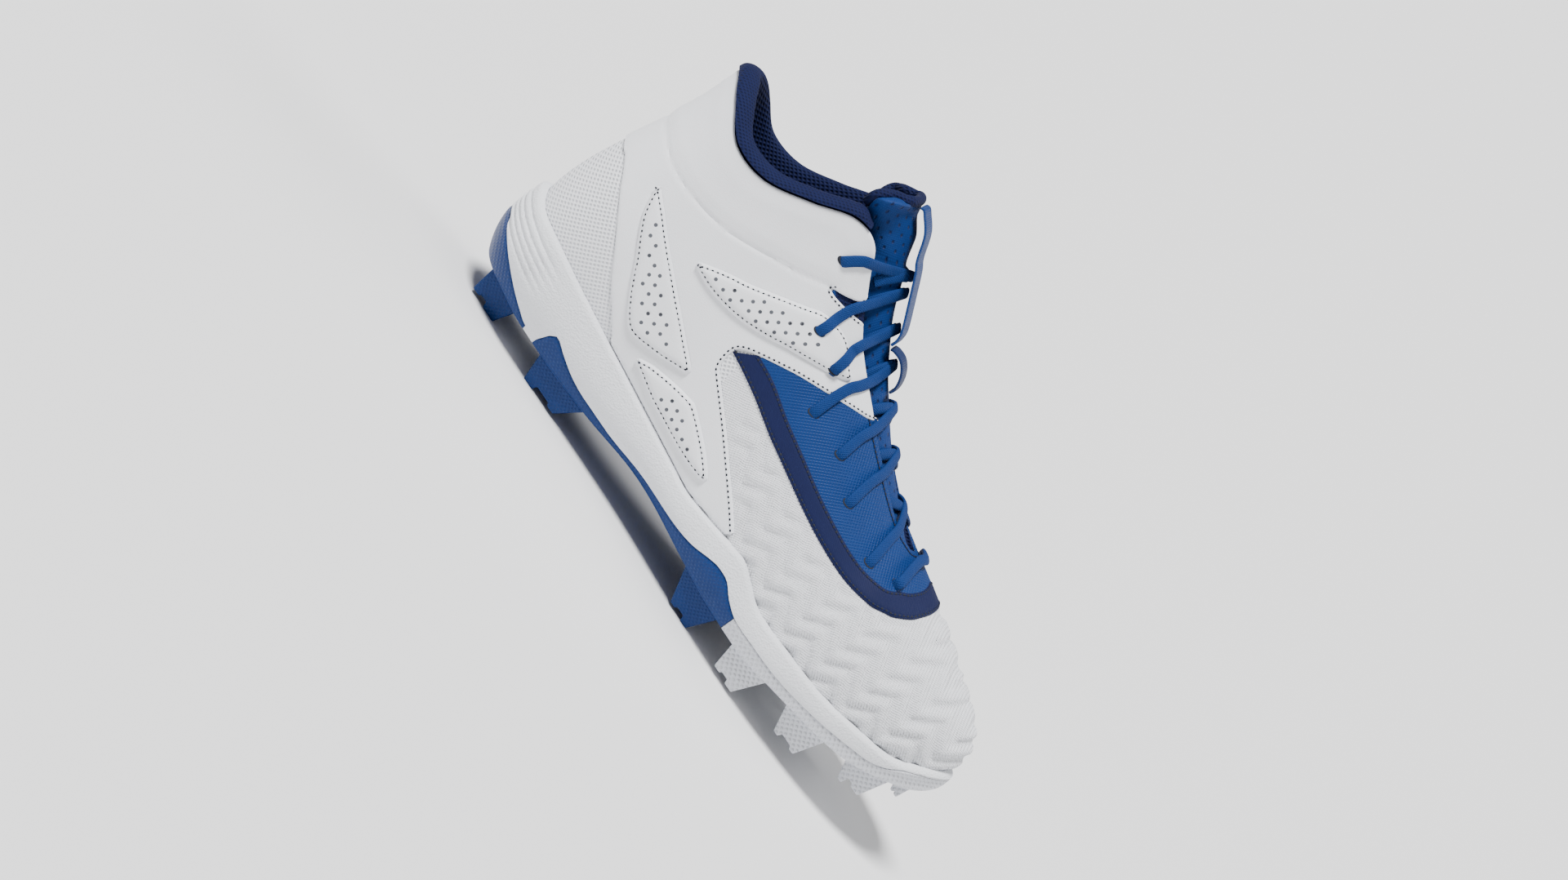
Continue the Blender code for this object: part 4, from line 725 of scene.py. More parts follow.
# Painted shade: a near-black for the needle holes and for the holes and shadows at the laces' ends.
HOLE_SHADE = plain_look("hole_shade", (0.02, 0.022, 0.03), 0.9)
INSOLE = lining_look("insole_navy", INSOLE_NAVY)


# Mesh makers

def new_object(name, data):
    obj = bpy.data.objects.new(name, data)
    bpy.context.scene.collection.objects.link(obj)
    return obj


def add_mesh(name, verts, faces, materials, replaced=(), indices=None, uvs=None, sharp=50):
    """A piece that rides on the shoe and the CAD nodes that it stands for."""
    mesh = bpy.data.meshes.new(name)
    mesh.from_pydata([tuple(v) for v in verts], [], [tuple(int(i) for i in face) for face in faces])
    for look in materials:
        mesh.materials.append(look)
    if indices is not None:
        mesh.polygons.foreach_set("material_index", np.asarray(indices, np.int32))
    if uvs is not None:
        layer = mesh.uv_layers.new(name="surface")
        corner = np.empty(len(mesh.loops), np.int32)
        mesh.loops.foreach_get("vertex_index", corner)
        layer.data.foreach_set("uv", np.asarray(uvs, float)[corner].ravel())
    mesh.validate()
    mesh.shade_smooth()
    mesh.set_sharp_from_angle(angle=math.radians(sharp))
    obj = new_object(name, mesh)
    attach(obj, "root")
    if replaced:
        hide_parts(*replaced)
    return obj


def grid_faces(rows, columns, wrap_rows=False, wrap_columns=False):
    r = np.arange(rows if wrap_rows else rows - 1)
    c = np.arange(columns if wrap_columns else columns - 1)
    r, c = (values.ravel() for values in np.meshgrid(r, c, indexing="ij"))
    r2, c2 = (r + 1) % rows, (c + 1) % columns
    return np.stack([r * columns + c, r2 * columns + c, r2 * columns + c2, r * columns + c2], 1)


def loft_mesh(rings, caps=(True, True)):
    """Faces over closed rings of points, capped at its ends."""
    rings = np.asarray(rings, float)
    faces = [tuple(f) for f in grid_faces(len(rings), rings.shape[1], wrap_columns=True)]
    count = rings.shape[1]
    if caps[0]:
        faces.append(tuple(range(count)))
    if caps[1]:
        faces.append(tuple(range((len(rings) - 1) * count, len(rings) * count))[::-1])
    return rings.reshape(-1, 3), faces


def joined(parts):
    """The points and faces of several meshes as those of one."""
    verts, faces, start = [], [], 0
    for part_verts, part_faces in parts:
        verts.append(part_verts)
        faces += [tuple(i + start for i in face) for face in part_faces]
        start += len(part_verts)
    return np.concatenate(verts), faces


def change(obj, work):
    """Changes a piece's mesh by a bmesh operation."""
    bm = bmesh.new()
    bm.from_mesh(obj.data)
    work(bm)
    bm.to_mesh(obj.data)
    bm.free()
    return obj


def turn_out(obj):
    """Turns a closed mesh's faces outward."""
    return change(obj, lambda bm: bmesh.ops.recalc_face_normals(bm, faces=bm.faces))


# Rows of places inside a panel's edge, so that its rounding is even
EDGE_INSETS = (0.25 * MM, 0.65 * MM)
# The edge's own spacing, and how far the grid keeps off edges and holes, as shares of the grid's step
EDGE_STEP, OFF_EDGE, OFF_HOLE = 0.8, 0.45, 0.55
# How far a row and a reach lie apart on the upper, about, in metres
SPREAD = np.array([0.0165, 0.105])


def fill(outline, step, circles=()):
    """Triangles over the places inside an outline, with rings of places built in."""
    extra = []
    loops = [even(np.asarray(outline) * SPREAD, step * EDGE_STEP, closed=True)]
    loops += [np.asarray(circle) * SPREAD for circle in circles]
    low, high = loops[0].min(0), loops[0].max(0)
    xs = np.arange(low[0], high[0], step)
    ys = np.arange(low[1], high[1], step * math.sqrt(0.75))
    gx, gy = np.meshgrid(xs, ys)
    gx = gx + (np.arange(len(ys)) % 2)[:, None] * step / 2
    grid = np.stack([gx.ravel(), gy.ravel()], 1)
    grid = np.concatenate([part[inside(part, loops[0])] for part in np.array_split(grid, 20)])
    rim = [np.concatenate([loops[0], loops[0][:1]])]
    for inset in EDGE_INSETS:
        beside = np.roll(loops[0], -1, 0) - np.roll(loops[0], 1, 0)
        beside = np.stack([-beside[:, 1], beside[:, 0]], 1) / np.linalg.norm(beside, axis=1)[:, None]
        for way in (1, -1):
            row = loops[0] + beside * inset * way
            row = row[inside(row, loops[0])]
            extra.append(row[distance_to(row, rim) > inset * 0.9] if len(row) else row)
    fixed = np.concatenate(loops)
    holes = [np.concatenate([loop, loop[:1]]) for loop in loops[1:]]
    grid = grid[distance_to(grid, rim) > EDGE_INSETS[-1] + step * OFF_EDGE]
    grid = grid[distance_to(grid, holes) > step * OFF_HOLE] if holes else grid
    grid = np.concatenate([grid] + extra)
    edges, start = [], 0
    for loop in loops:
        count = len(loop)
        edges += [(start + i, start + (i + 1) % count) for i in range(count)]
        start += count
    points = [Vector(p) for p in np.concatenate([fixed, grid])]
    made = delaunay_2d_cdt(points, edges, [], 1, 1e-7)
    flat = np.array([tuple(v) for v in made[0]])
    return flat / SPREAD, np.array(made[2])


def double_sided(place, faces, seam):
    """The outer half's places and faces with mirrored ones for the inner half, welded where seam is true."""
    welded = seam(place)
    mirror = np.stack([-place[:, 0], place[:, 1]], 1)
    index = np.where(welded, np.arange(len(place)), 0)
    keep = ~welded
    index[keep] = len(place) + np.arange(keep.sum())
    return np.concatenate([place, mirror[keep]]), np.concatenate([faces, index[faces][:, ::-1]])


def panel_rise(distance, thickness=PANEL_THICKNESS, rounding=0.9 * MM):
    """A panel's height above its bed: a rounded edge, then its full thickness."""
    f = 1 - np.clip(distance / rounding, 0, 1)
    return thickness * np.sqrt(np.clip(1 - f**2, 0, 1)) - 0.08 * MM


def groove(distance, depth, width):
    return -depth * np.exp(-((distance / width) ** 2))


def surface_uv(place):
    at = side_view(place)
    return np.stack([at[:, 0], place[:, 1] * SPREAD[1]], 1)


# Panels that lie on the upper

def row_on_top(x_share):
    """The row at which the collar or throat edge lies at x."""
    rows = np.linspace(6, THROAT_END_ROW, 801)
    return float(np.interp(x_share * LENGTH, upper_point(rows, 1.0)[:, 0], rows))


def top_edge(first, last, count):
    rows = np.linspace(first, last, count)
    return np.stack([rows, np.ones(count)], 1)


def heel_reach(share):
    """The reach at a height on the line down the back of the heel."""
    reaches = np.linspace(0.1, 1, 200)
    return float(np.interp(height(share), upper_point(0.0, reaches)[:, 2], reaches))


def skin(place, rise):
    return off_upper(place[:, 0], place[:, 1], rise)


def free_distance(place, lines):
    return distance_to(upper_point(place[:, 0], place[:, 1]),
                       [upper_point(line[:, 0], line[:, 1]) for line in lines])


def counter(flat, faces):
    """Faces turned to run anticlockwise over the row and reach."""
    a, b, c = (flat[faces[:, i]] for i in range(3))
    turn = (b[:, 0] - a[:, 0]) * (c[:, 1] - a[:, 1]) - (b[:, 1] - a[:, 1]) * (c[:, 0] - a[:, 0])
    return np.where((turn < 0)[:, None], faces[:, ::-1], faces)


def offset_line(line, inward, rise):
    """Points and normals at a distance beside a line of places, to the left of its way."""
    at, normal = upper_point(line[:, 0], line[:, 1]), upper_normal(line[:, 0], line[:, 1])
    tangent = unit(np.gradient(at, axis=0))
    return at + unit(np.cross(normal, tangent)) * inward + normal * rise, normal


def mirrored(line):
    return np.stack([-line[:, 0], line[:, 1]], 1)[::-1]


def both_halves(line, inward, rise):
    return [offset_line(line, inward, rise), offset_line(mirrored(line), inward, rise)]


def ellipsoid(rings=4, around=6):
    """A closed grain, one unit from its middle to each end."""
    verts = [(-1, 0, 0)]
    for i in range(1, rings):
        a = math.pi * i / rings
        for j in range(around):
            b = 2 * math.pi * j / around
            verts.append((-math.cos(a), math.sin(a) * math.cos(b), math.sin(a) * math.sin(b)))
    verts.append((1, 0, 0))
    last = len(verts) - 1
    faces = [(0, 1 + (j + 1) % around, 1 + j) for j in range(around)]
    for i in range(rings - 2):
        for j in range(around):
            a, b = 1 + i * around + j, 1 + i * around + (j + 1) % around
            faces += [(a, b, b + around), (a, b + around, a + around)]
    low = 1 + (rings - 2) * around
    faces += [(low + j, low + (j + 1) % around, last) for j in range(around)]
    return np.array(verts, float), np.array(faces)


GRAIN, GRAIN_FACES = ellipsoid()


def scatter(points, tangents, normals, size):
    """The grain's mesh at each point, turned along the tangent and sized length, width and height."""
    tangents = unit(tangents - normals * np.sum(tangents * normals, 1)[:, None])
    aside = np.cross(normals, tangents)
    g = GRAIN * np.asarray(size)
    verts = (points[:, None, :] + g[None, :, :1] * tangents[:, None, :] + g[None, :, 1:2] * aside[:, None, :]
             + g[None, :, 2:] * normals[:, None, :])
    faces = GRAIN_FACES[None] + (np.arange(len(points)) * len(g))[:, None, None]
    return verts.reshape(-1, 3), faces.reshape(-1, 3)


# Half sizes: a stitch's length as a share of the pitch, threads' width and height, then the length, width
# and height of the needle hole between two stitches, a dark grain of painted shade
STITCH_PITCH = 2.3 * MM
STITCH_SHARE = 0.36
THREAD_WIDTH, FINE_THREAD_WIDTH, THREAD_HEIGHT = 0.30 * MM, 0.25 * MM, 0.22 * MM
NEEDLE_SIZE = (0.64 * MM, 0.44 * MM, 0.27 * MM)


def stitches(name, seams, thread, width=THREAD_WIDTH):
    """Thread along seams, with painted shade for the needle hole between stitches, as one joined mesh."""
    parts, looks = [], []
    for points, normals in seams:
        line = even(np.concatenate([points, normals], 1), STITCH_PITCH / 2)
        at, normal = line[:, :3], unit(line[:, 3:])
        tangent = unit(np.gradient(at, axis=0))
        for look, size in enumerate(((STITCH_PITCH * STITCH_SHARE, width, THREAD_HEIGHT), NEEDLE_SIZE)):
            pick = slice(look, None, 2)
            parts.append(scatter(at[pick], tangent[pick], normal[pick], size))
            looks.append(np.full(len(parts[-1][1]), look))
    verts, faces = joined(parts)
    return add_mesh(name, verts, faces, [thread, HOLE_SHADE], indices=np.concatenate(looks))


# Upper: the knit wall, with waves pressed into the toe

SHELL_AROUND, SHELL_UP = 400, 66
# The heel's mesh covers the rows before this one
MESH_ROWS = 7
# The toe's waves: height, how flat their tops are, their pitch, the zigzag's length, how they drift along
# the shoe, how far they keep off the panels, and the rows over which they begin
WAVE_RISE, WAVE_FLATNESS = 0.75 * MM, 2.2
WAVE_PITCH, ZIGZAG_LENGTH, WAVE_DRIFT = 9.5 * MM, 20 * MM, 60 * MM
WAVE_CLEAR, WAVE_START = (0.3 * MM, 3.5 * MM), (7.5, 8.5)


def toe_waves(place):
    at = side_view(place)
    zigzag = np.abs((at[:, 0] / ZIGZAG_LENGTH) % 1 - 0.5) * 2
    wave = np.sin(2 * math.pi * (at[:, 1] / WAVE_PITCH + zigzag + at[:, 0] / WAVE_DRIFT))
    row = np.abs(place[:, 0])
    row = np.minimum(row, ROUND - row)
    half = np.stack([row, place[:, 1]], 1)
    clear = smoothstep(*WAVE_CLEAR, free_distance(half, [TRIM_LOW, FRONT_LINE]))
    level = np.interp(row, TRIM_LOW[:, 0], TRIM_LOW[:, 1])
    covered = (place[:, 1] > level) & (row < TRIM_LOW[-1, 0])
    return WAVE_RISE * np.tanh(WAVE_FLATNESS * wave) * smoothstep(*WAVE_START, row) * clear * ~covered


def build_upper():
    u = np.arange(SHELL_AROUND) * ROUND / SHELL_AROUND
    t = np.linspace(0, 1, SHELL_UP)
    uu, tt = (grid.ravel() for grid in np.meshgrid(u, t, indexing="ij"))
    place = np.stack([np.where(uu > LAST_ROW, uu - ROUND, uu), tt], 1)
    outer = off_upper(uu, tt, toe_waves(place))
    inner = off_upper(uu, tt, np.full(len(uu), -WALL))
    faces = grid_faces(SHELL_AROUND, SHELL_UP, wrap_rows=True)
    count = len(outer)
    heel = (u < MESH_ROWS) | (u > ROUND - MESH_ROWS)
    looks = np.repeat(np.where(heel, 1, 0), SHELL_UP - 1)
    ring = np.arange(SHELL_AROUND)
    after = (ring + 1) % SHELL_AROUND
    low = np.stack([ring, ring, after, after], 1) * SHELL_UP + np.array([0, count, count, 0])
    top = low[:, ::-1] + SHELL_UP - 1
    open_top = (u <= THROAT_END_ROW) | (u >= ROUND - THROAT_END_ROW)
    top = top[open_top & np.roll(open_top, -1)]
    faces = np.concatenate([faces, faces[:, ::-1] + count, low, top])
    looks = np.concatenate([looks, np.full(len(faces) - len(looks), 2)])
    uv = surface_uv(place)
    obj = add_mesh("upper_knit", np.concatenate([outer, inner]), faces, [KNIT, MESH, LINING],
                   ["upper"], indices=looks, uvs=np.concatenate([uv, uv]))
    weld(obj, 0.02 * MM)
    return turn_out(obj)


def weld(obj, distance=0.01 * MM):
    change(obj, lambda bm: bmesh.ops.remove_doubles(bm, verts=bm.verts, dist=distance))
    obj.data.shade_smooth()
    obj.data.set_sharp_from_angle(angle=math.radians(60))
    return obj


def on_heel(place):
    """Whether places lie on the line down the back of the heel, where the halves meet."""
    return place[:, 0] < 1e-6


def panel(name, outline, free, look, replaced, rise, step=1.3 * MM, seam=on_heel, second=None):
    """A panel over both halves of the upper; rise gives its height from its places and edge distance."""
    flat, faces = fill(outline, step)
    faces = counter(flat, faces)
    heights = rise(flat, free_distance(flat, free))
    welded = seam(flat)
    place, faces = double_sided(flat, faces, seam)
    heights = np.concatenate([heights, heights[~welded]])
    looks, indices = [look], None
    if second is not None:
        middle = np.abs(place)[faces].mean(1)
        looks, indices = [look, second[0]], second[1](middle).astype(int)
    return add_mesh(name, skin(place, heights), faces, looks, replaced, indices=indices,
                    uvs=surface_uv(place))


# Quarter: the white overlay round heel and ankle

QUARTER_TOP_THICKNESS = SEAT + PANEL_THICKNESS
COLLAR_SEAM = ((-0.458, 0.685), (-0.424, 0.662), (-0.390, 0.656), (-0.357, 0.660), (-0.326, 0.671),
               (-0.293, 0.691), (-0.261, 0.723), (-0.229, 0.757), (-0.196, 0.792), (-0.164, 0.836),
               (-0.152, 0.848))
# Heights on the line down the back of the heel: the collar's seam, and the overlay's rear edge
SEAM_BACK, REAR_BACK = 0.694, 0.556
STITCH_INSET, STITCH_SINK = 1.4 * MM, 0.12 * MM
STITCH_GROOVE, SEAM_GROOVE = (0.18 * MM, 0.5 * MM), (0.75 * MM, 0.8 * MM)
# The padded collar's puff above its seam, and over what distance it fades at the seam and at the top
PUFF, PUFF_RUN, PUFF_TOP = 0.9 * MM, 7 * MM, 9 * MM

REAR_LINE = np.concatenate([[[0.0, heel_reach(REAR_BACK)]], places(smooth(QUARTER_REAR, 5))])
RIM_EDGE = places([(x, float(along(RIM_LINE, x)) + 0.004) for x in np.linspace(-0.262, 0.052, 50)])
FRONT_LINE = places(smooth(QUARTER_FRONT, 5)[1:])
SLOT_LINE = places(smooth(FINGER_SLOT, 6))
FINGER_TIP, SLOT_LOW, SLOT_HIGH = row_on_top(0.031), row_on_top(-0.086), row_on_top(-0.117)
SEAM_LINE = places(smooth(COLLAR_SEAM, 5))
SEAM_LINE = np.concatenate([[[0.0, heel_reach(SEAM_BACK)]], SEAM_LINE])
FINGER_TOP = top_edge(FINGER_TIP, SLOT_LOW, 16)
COLLAR_TOP = top_edge(SLOT_HIGH, 0.0, 60)
BACK_LINE = np.stack([np.zeros(12), np.linspace(1, heel_reach(REAR_BACK), 14)[1:-1]], 1)
QUARTER_EDGES = [REAR_LINE, RIM_EDGE, FRONT_LINE, FINGER_TOP, SLOT_LINE, COLLAR_TOP]


def quarter_rise(place, away):
    rise = panel_rise(away, QUARTER_TOP_THICKNESS)
    seen = side_view(place)
    seam = distance_to(seen, [side_view(SEAM_LINE)])
    above = np.interp(seen[:, 0], side_view(SEAM_LINE)[:, 0], side_view(SEAM_LINE)[:, 1])
    puff = smoothstep(0, PUFF_RUN, seam) * (seen[:, 1] > above) * (np.abs(place[:, 0]) < SLOT_HIGH + 0.2)
    below_top = upper_point(place[:, 0], place[:, 1]) - upper_point(place[:, 0], 1.0)
    off_top = smoothstep(0, PUFF_TOP, np.linalg.norm(below_top, axis=1))
    rise = rise + PUFF * puff * off_top + groove(seam, *SEAM_GROOVE)
    for line in (REAR_LINE, FRONT_LINE, SLOT_LINE):
        rise = rise + groove(free_distance(place, [line]) - STITCH_INSET, *STITCH_GROOVE)
    return rise


def build_quarter():
    outline = np.concatenate([REAR_LINE, RIM_EDGE[1:-1], FRONT_LINE, FINGER_TOP, SLOT_LINE[1:-1], COLLAR_TOP,
                              BACK_LINE])
    quarter = panel("quarter_overlay", outline, QUARTER_EDGES, LEATHER, ["quarter"],
                    quarter_rise)
    seams = []
    for line in (FRONT_LINE, SLOT_LINE):
        seams += both_halves(line, STITCH_INSET, QUARTER_TOP_THICKNESS - STITCH_SINK)
    stitches("quarter_stitches", seams, THREAD_WHITE)
    return quarter


# Vamp: the navy trim and the blue panel inside it

TRIM_THICKNESS, VAMP_THICKNESS = 0.95 * MM, 0.75 * MM
TRIM_INSET, EYESTAY_INSET = 1.3 * MM, 3.2 * MM
TRIM_GROOVE, EYESTAY_GROOVE = (0.15 * MM, 0.45 * MM), (0.25 * MM, 0.6 * MM)
# Row and reach by which the blue panel goes in under the trim, and the row where it starts at the throat
VAMP_OVERLAP, VAMP_BACK_ROW = (0.08, -0.012), 7.4
# In the overlay's slot, before this row and above this reach, the panel has the lining's colour
SLOT_ROW, SLOT_REACH = 9.0, 0.80
TRIM_LOW, TRIM_HIGH = smooth(TRIM_OUTER_EDGE, 6), smooth(TRIM_INNER_EDGE, 6)
TRIM_LOW[:, 1], TRIM_HIGH[:, 1] = np.minimum(TRIM_LOW[:, 1], 1), np.minimum(TRIM_HIGH[:, 1], 1)


def on_ridge(place):
    return (place[:, 1] > 0.99999) & (place[:, 0] >= THROAT_END_ROW - 1e-9)


def trim_rise(place, away):
    return panel_rise(away, TRIM_THICKNESS, 0.7 * MM) + groove(away - TRIM_INSET, *TRIM_GROOVE)


def vamp_rise(place, away):
    return panel_rise(away, VAMP_THICKNESS, 0.8 * MM) + groove(away - EYESTAY_INSET, *EYESTAY_GROOVE)


def in_slot(place):
    return (place[:, 0] < SLOT_ROW) & (place[:, 1] > SLOT_REACH)


def build_vamp():
    ridge = top_edge(TRIM_LOW[-1, 0], TRIM_HIGH[-1, 0], 12)
    outline = np.concatenate([TRIM_LOW, ridge[1:-1], TRIM_HIGH[::-1]])
    trim = panel("vamp_trim_band", outline, [TRIM_LOW, TRIM_HIGH], TRIM, ["vamp_trim"],
                 trim_rise, 0.9 * MM, on_ridge)
    inner = TRIM_HIGH + np.array(VAMP_OVERLAP)
    inner[-1] = (TRIM_HIGH[-1, 0] + 0.1, 1.0)
    over_toes = top_edge(inner[-1, 0], THROAT_END_ROW, 8)[1:]
    throat = top_edge(THROAT_END_ROW, VAMP_BACK_ROW, 60)[1:]
    outline = np.concatenate([inner, over_toes, throat])
    vamp = panel("vamp_panel_cloth", outline, [throat], RIPSTOP, ["vamp_panel"],
                 vamp_rise, 1.2 * MM, on_ridge, (LINING, in_slot))
    seams = []
    for line, inset in ((TRIM_LOW, TRIM_INSET), (TRIM_HIGH, -TRIM_INSET)):
        seams += both_halves(line, inset, TRIM_THICKNESS - 0.05 * MM)
    seams += both_halves(throat, EYESTAY_INSET, VAMP_THICKNESS - 0.1 * MM)
    stitches("vamp_stitches", seams, THREAD_NAVY, width=FINE_THREAD_WIDTH)
    return [trim, vamp]


# Raised pads, each with rows of pinholes: the x and z shares round each outline.
PAD_OUTLINES = {
    "rear": ((-0.399, 0.591), (-0.382, 0.513), (-0.359, 0.459), (-0.339, 0.420), (-0.316, 0.369),
             (-0.294, 0.324), (-0.273, 0.289), (-0.254, 0.276), (-0.225, 0.292), (-0.188, 0.324),
             (-0.164, 0.359), (-0.207, 0.406), (-0.256, 0.454), (-0.301, 0.498), (-0.336, 0.533),
             (-0.368, 0.568)),
    "upper": ((-0.283, 0.562), (-0.274, 0.551), (-0.246, 0.547), (-0.214, 0.555), (-0.182, 0.573),
              (-0.148, 0.604), (-0.116, 0.640), (-0.084, 0.671), (-0.055, 0.698), (-0.034, 0.725),
              (-0.049, 0.749), (-0.081, 0.788), (-0.107, 0.797), (-0.132, 0.785), (-0.148, 0.761),
              (-0.184, 0.708), (-0.216, 0.661), (-0.249, 0.620), (-0.279, 0.574)),
    "lower": ((-0.222, 0.243), (-0.197, 0.227), (-0.165, 0.212), (-0.133, 0.205), (-0.101, 0.200),
              (-0.068, 0.198), (-0.036, 0.206), (-0.029, 0.225), (-0.052, 0.256), (-0.084, 0.286),
              (-0.120, 0.314), (-0.133, 0.315), (-0.165, 0.300), (-0.204, 0.273)),
}
# Rows of pinholes in millimetres: the first one's x and height above the ground, the step to the next, and
# how many.
PINHOLES = {
    "rear": ((-107.8, 85.1, 0.0, 0.0, 1), (-105.5, 80.9, 4.7, -0.5, 2), (-99.0, 76.0, 4.7, -0.5, 3),
             (-92.5, 71.6, 4.9, -0.4, 3), (-91.0, 67.4, 4.9, -0.35, 5), (-84.5, 62.6, 4.9, -0.3, 5),
             (-78.2, 57.9, 5.0, -0.3, 2)),
    "upper": ((-75.5, 93.3, 5.15, 0.0, 3), (-67.4, 97.0, 5.15, 0.0, 4), (-59.3, 100.6, 5.15, 0.0, 4),
              (-56.6, 104.3, 5.15, 0.0, 5), (-48.6, 107.9, 5.2, 0.0, 4), (-40.6, 111.7, 5.2, 0.0, 3)),
    "lower": ((-43.8, 50.3, 4.6, -0.5, 3), (-46.8, 46.8, 4.65, -0.45, 6)),
}
PINHOLE_RADIUS = 0.85 * MM
PINHOLE_DEPTH = 0.9 * MM
PAD_SHOULDER, PAD_ROUNDNESS = 5.5 * MM, 2.4
PAD_SEAT, PAD_TOP = QUARTER_TOP_THICKNESS - 0.1 * MM, PAD_RISE + 0.4 * MM
PAD_STITCH_INSET = 1.5 * MM
PAD_GROOVE = (0.45 * MM, 0.55 * MM)


def pinhole_centres(pad):
    rows = [(x + dx * i, z + dz * i) for x, z, dx, dz, count in PINHOLES[pad] for i in range(count)]
    return np.array(rows) * MM


def build_pad(pad):
    outline = places(smooth(PAD_OUTLINES[pad], 6, closed=True))
    centres = pinhole_centres(pad)
    turns = np.linspace(0, 2 * math.pi, 12, endpoint=False)
    ring = np.stack([np.cos(turns), np.sin(turns)], 1)
    circles = []
    for centre in centres:
        points = centre + ring * PINHOLE_RADIUS
        points[:, 0] /= LENGTH
        points[:, 1] = (points[:, 1] - STUD_HEIGHT) / HEEL_HEIGHT
        circles.append(places(points))
    flat, faces = fill(outline, 0.9 * MM, circles)
    faces = counter(flat, faces)
    loop = np.concatenate([outline, outline[:1]])
    away = free_distance(flat, [loop])
    seen = side_view(flat)
    f = 1 - np.clip(away / PAD_SHOULDER, 0, 1)
    rise = PAD_SEAT + PAD_TOP * np.sqrt(np.clip(1 - f**PAD_ROUNDNESS, 0, 1))
    rise = rise + groove(away - PAD_STITCH_INSET, *PAD_GROOVE)
    hole = np.min(np.linalg.norm(seen[:, None] - centres[None], axis=2), 1)
    rise = rise - PINHOLE_DEPTH * (1 - smoothstep(PINHOLE_RADIUS * 0.75, PINHOLE_RADIUS * 1.02, hole))
    middle = seen[faces].mean(1)
    built = []
    # Painted shade: the faces inside each pinhole take the dark pinhole material.
    dark = np.min(np.linalg.norm(middle[:, None] - centres[None], axis=2), 1) < PINHOLE_RADIUS
    for sign, side_name in ((1, "outer"), (-1, "inner")):
        place = flat * np.array([sign, 1])
        obj = add_mesh(f"pad_{pad}_{side_name}_skin", skin(place, rise), faces[:, ::sign],
                       [PAD_LEATHER, PINHOLE_SHADE], [f"pad_{pad}_{side_name}"],
                       indices=dark.astype(int), uvs=surface_uv(place))
        built.append(obj)
    at_seam = float(np.interp(PAD_STITCH_INSET, np.sort(away), rise[np.argsort(away)]))
    return built, both_halves(loop, PAD_STITCH_INSET, at_seam + 0.1 * MM)


def build_pads():
    built, seams = zip(*(build_pad(pad) for pad in PAD_OUTLINES))
    stitches("pad_stitches", sum(seams, []), THREAD_WHITE)
    return sum(built, [])


# Collar

LINING_REACHES = (0.50, 0.66, 0.80, 0.92, 1.0)
LINING_SHARES = (0.30, 0.45, 0.75, 0.95, 1.0)
LINING_ROWS, LINING_STEPS, ROLL_END = 6.5, 160, 0.35
ROLL_ARC = ((1.02, 0.40), (0.90, 0.85), (0.55, 1.05), (0.15, 0.95), (-0.13, 0.62), (-0.24, 0.12))


def build_lining():
    rings = []
    for row in np.linspace(-LINING_ROWS, LINING_ROWS, LINING_STEPS):
        end = smoothstep(LINING_ROWS, LINING_ROWS - 0.6, abs(row))
        face = [off_upper(row, reach, -WALL - SEAT - COLLAR_PAD * share)
                for reach, share in zip(LINING_REACHES, LINING_SHARES)]
        top, normal = upper_point(row, 1.0), upper_normal(row, 1.0)
        up = unit(top - upper_point(row, 0.96))
        roll = ROLL_END + (1 - ROLL_END) * end
        arc = [top - normal * (WALL + COLLAR_PAD) * depth + up * (ROLL_SEAT + COLLAR_ROLL * rise * roll)
               for depth, rise in ROLL_ARC]
        front = smooth(np.array(face + arc), 4)
        back = [off_upper(row, reach, -WALL - SEAT) for reach in LINING_REACHES[::-1]]
        rings.append(np.concatenate([front, back]))
    verts, faces = loft_mesh(rings)
    lining = add_mesh("collar_lining_pad", verts, faces, [LINING], ["collar_lining"])
    return turn_out(lining)


# Tongue

# How much the tongue's free top spreads beside its middle, by place
TONGUE_SPREAD = ((0.0, 1.0), (8.8, 1.0), (9.6, 1.12), (10.4, 1.30), (11.2, 1.34), (12.0, 1.22))
TONGUE_ROWS, TONGUE_STEPS = 150, 26
BINDING_PLACES = (9.6, 10.1, 10.6, 11.1, 11.55)


def tongue_station(place):
    """The tongue's table read smoothly between its stations, and its spread."""
    read = tuple(float(along(tuple(enumerate(column)), place)) for column in zip(*TONGUE))
    return read + (float(along(TONGUE_SPREAD, place)),)


def tongue_line(station, depth, count):
    t = np.linspace(0, 1, count)
    outer, inner = (tongue_half(station, side, depth, t) for side in (OUTER, INNER))
    return np.concatenate([outer, inner[-2::-1]])


def build_tongue():
    rings, uvs, run, before = [], [], 0.0, None
    for place in np.linspace(0, len(TONGUE) - 1, TONGUE_ROWS):
        station = tongue_station(place)
        thickness = TONGUE_THICKNESS * station[-2]
        front = tongue_line(station, 0.0, TONGUE_STEPS)
        back = tongue_line(station, thickness, TONGUE_STEPS)[::-1]
        middle = front[TONGUE_STEPS - 1]
        run += 0 if before is None else float(np.linalg.norm(middle - before))
        before = middle
        spread = np.concatenate([[0], np.cumsum(np.linalg.norm(np.diff(front, axis=0), axis=1))])
        spread = spread - spread[TONGUE_STEPS - 1]
        uvs += [(run, across) for across in spread] + [(run, across) for across in spread[::-1]]
        rings.append(np.concatenate([front, back]))
    verts, faces = loft_mesh(rings)
    tongue = add_mesh("tongue_cloth", verts, faces, [TONGUE_LOOK], ["tongue"], uvs=uvs)
    return turn_out(tongue)


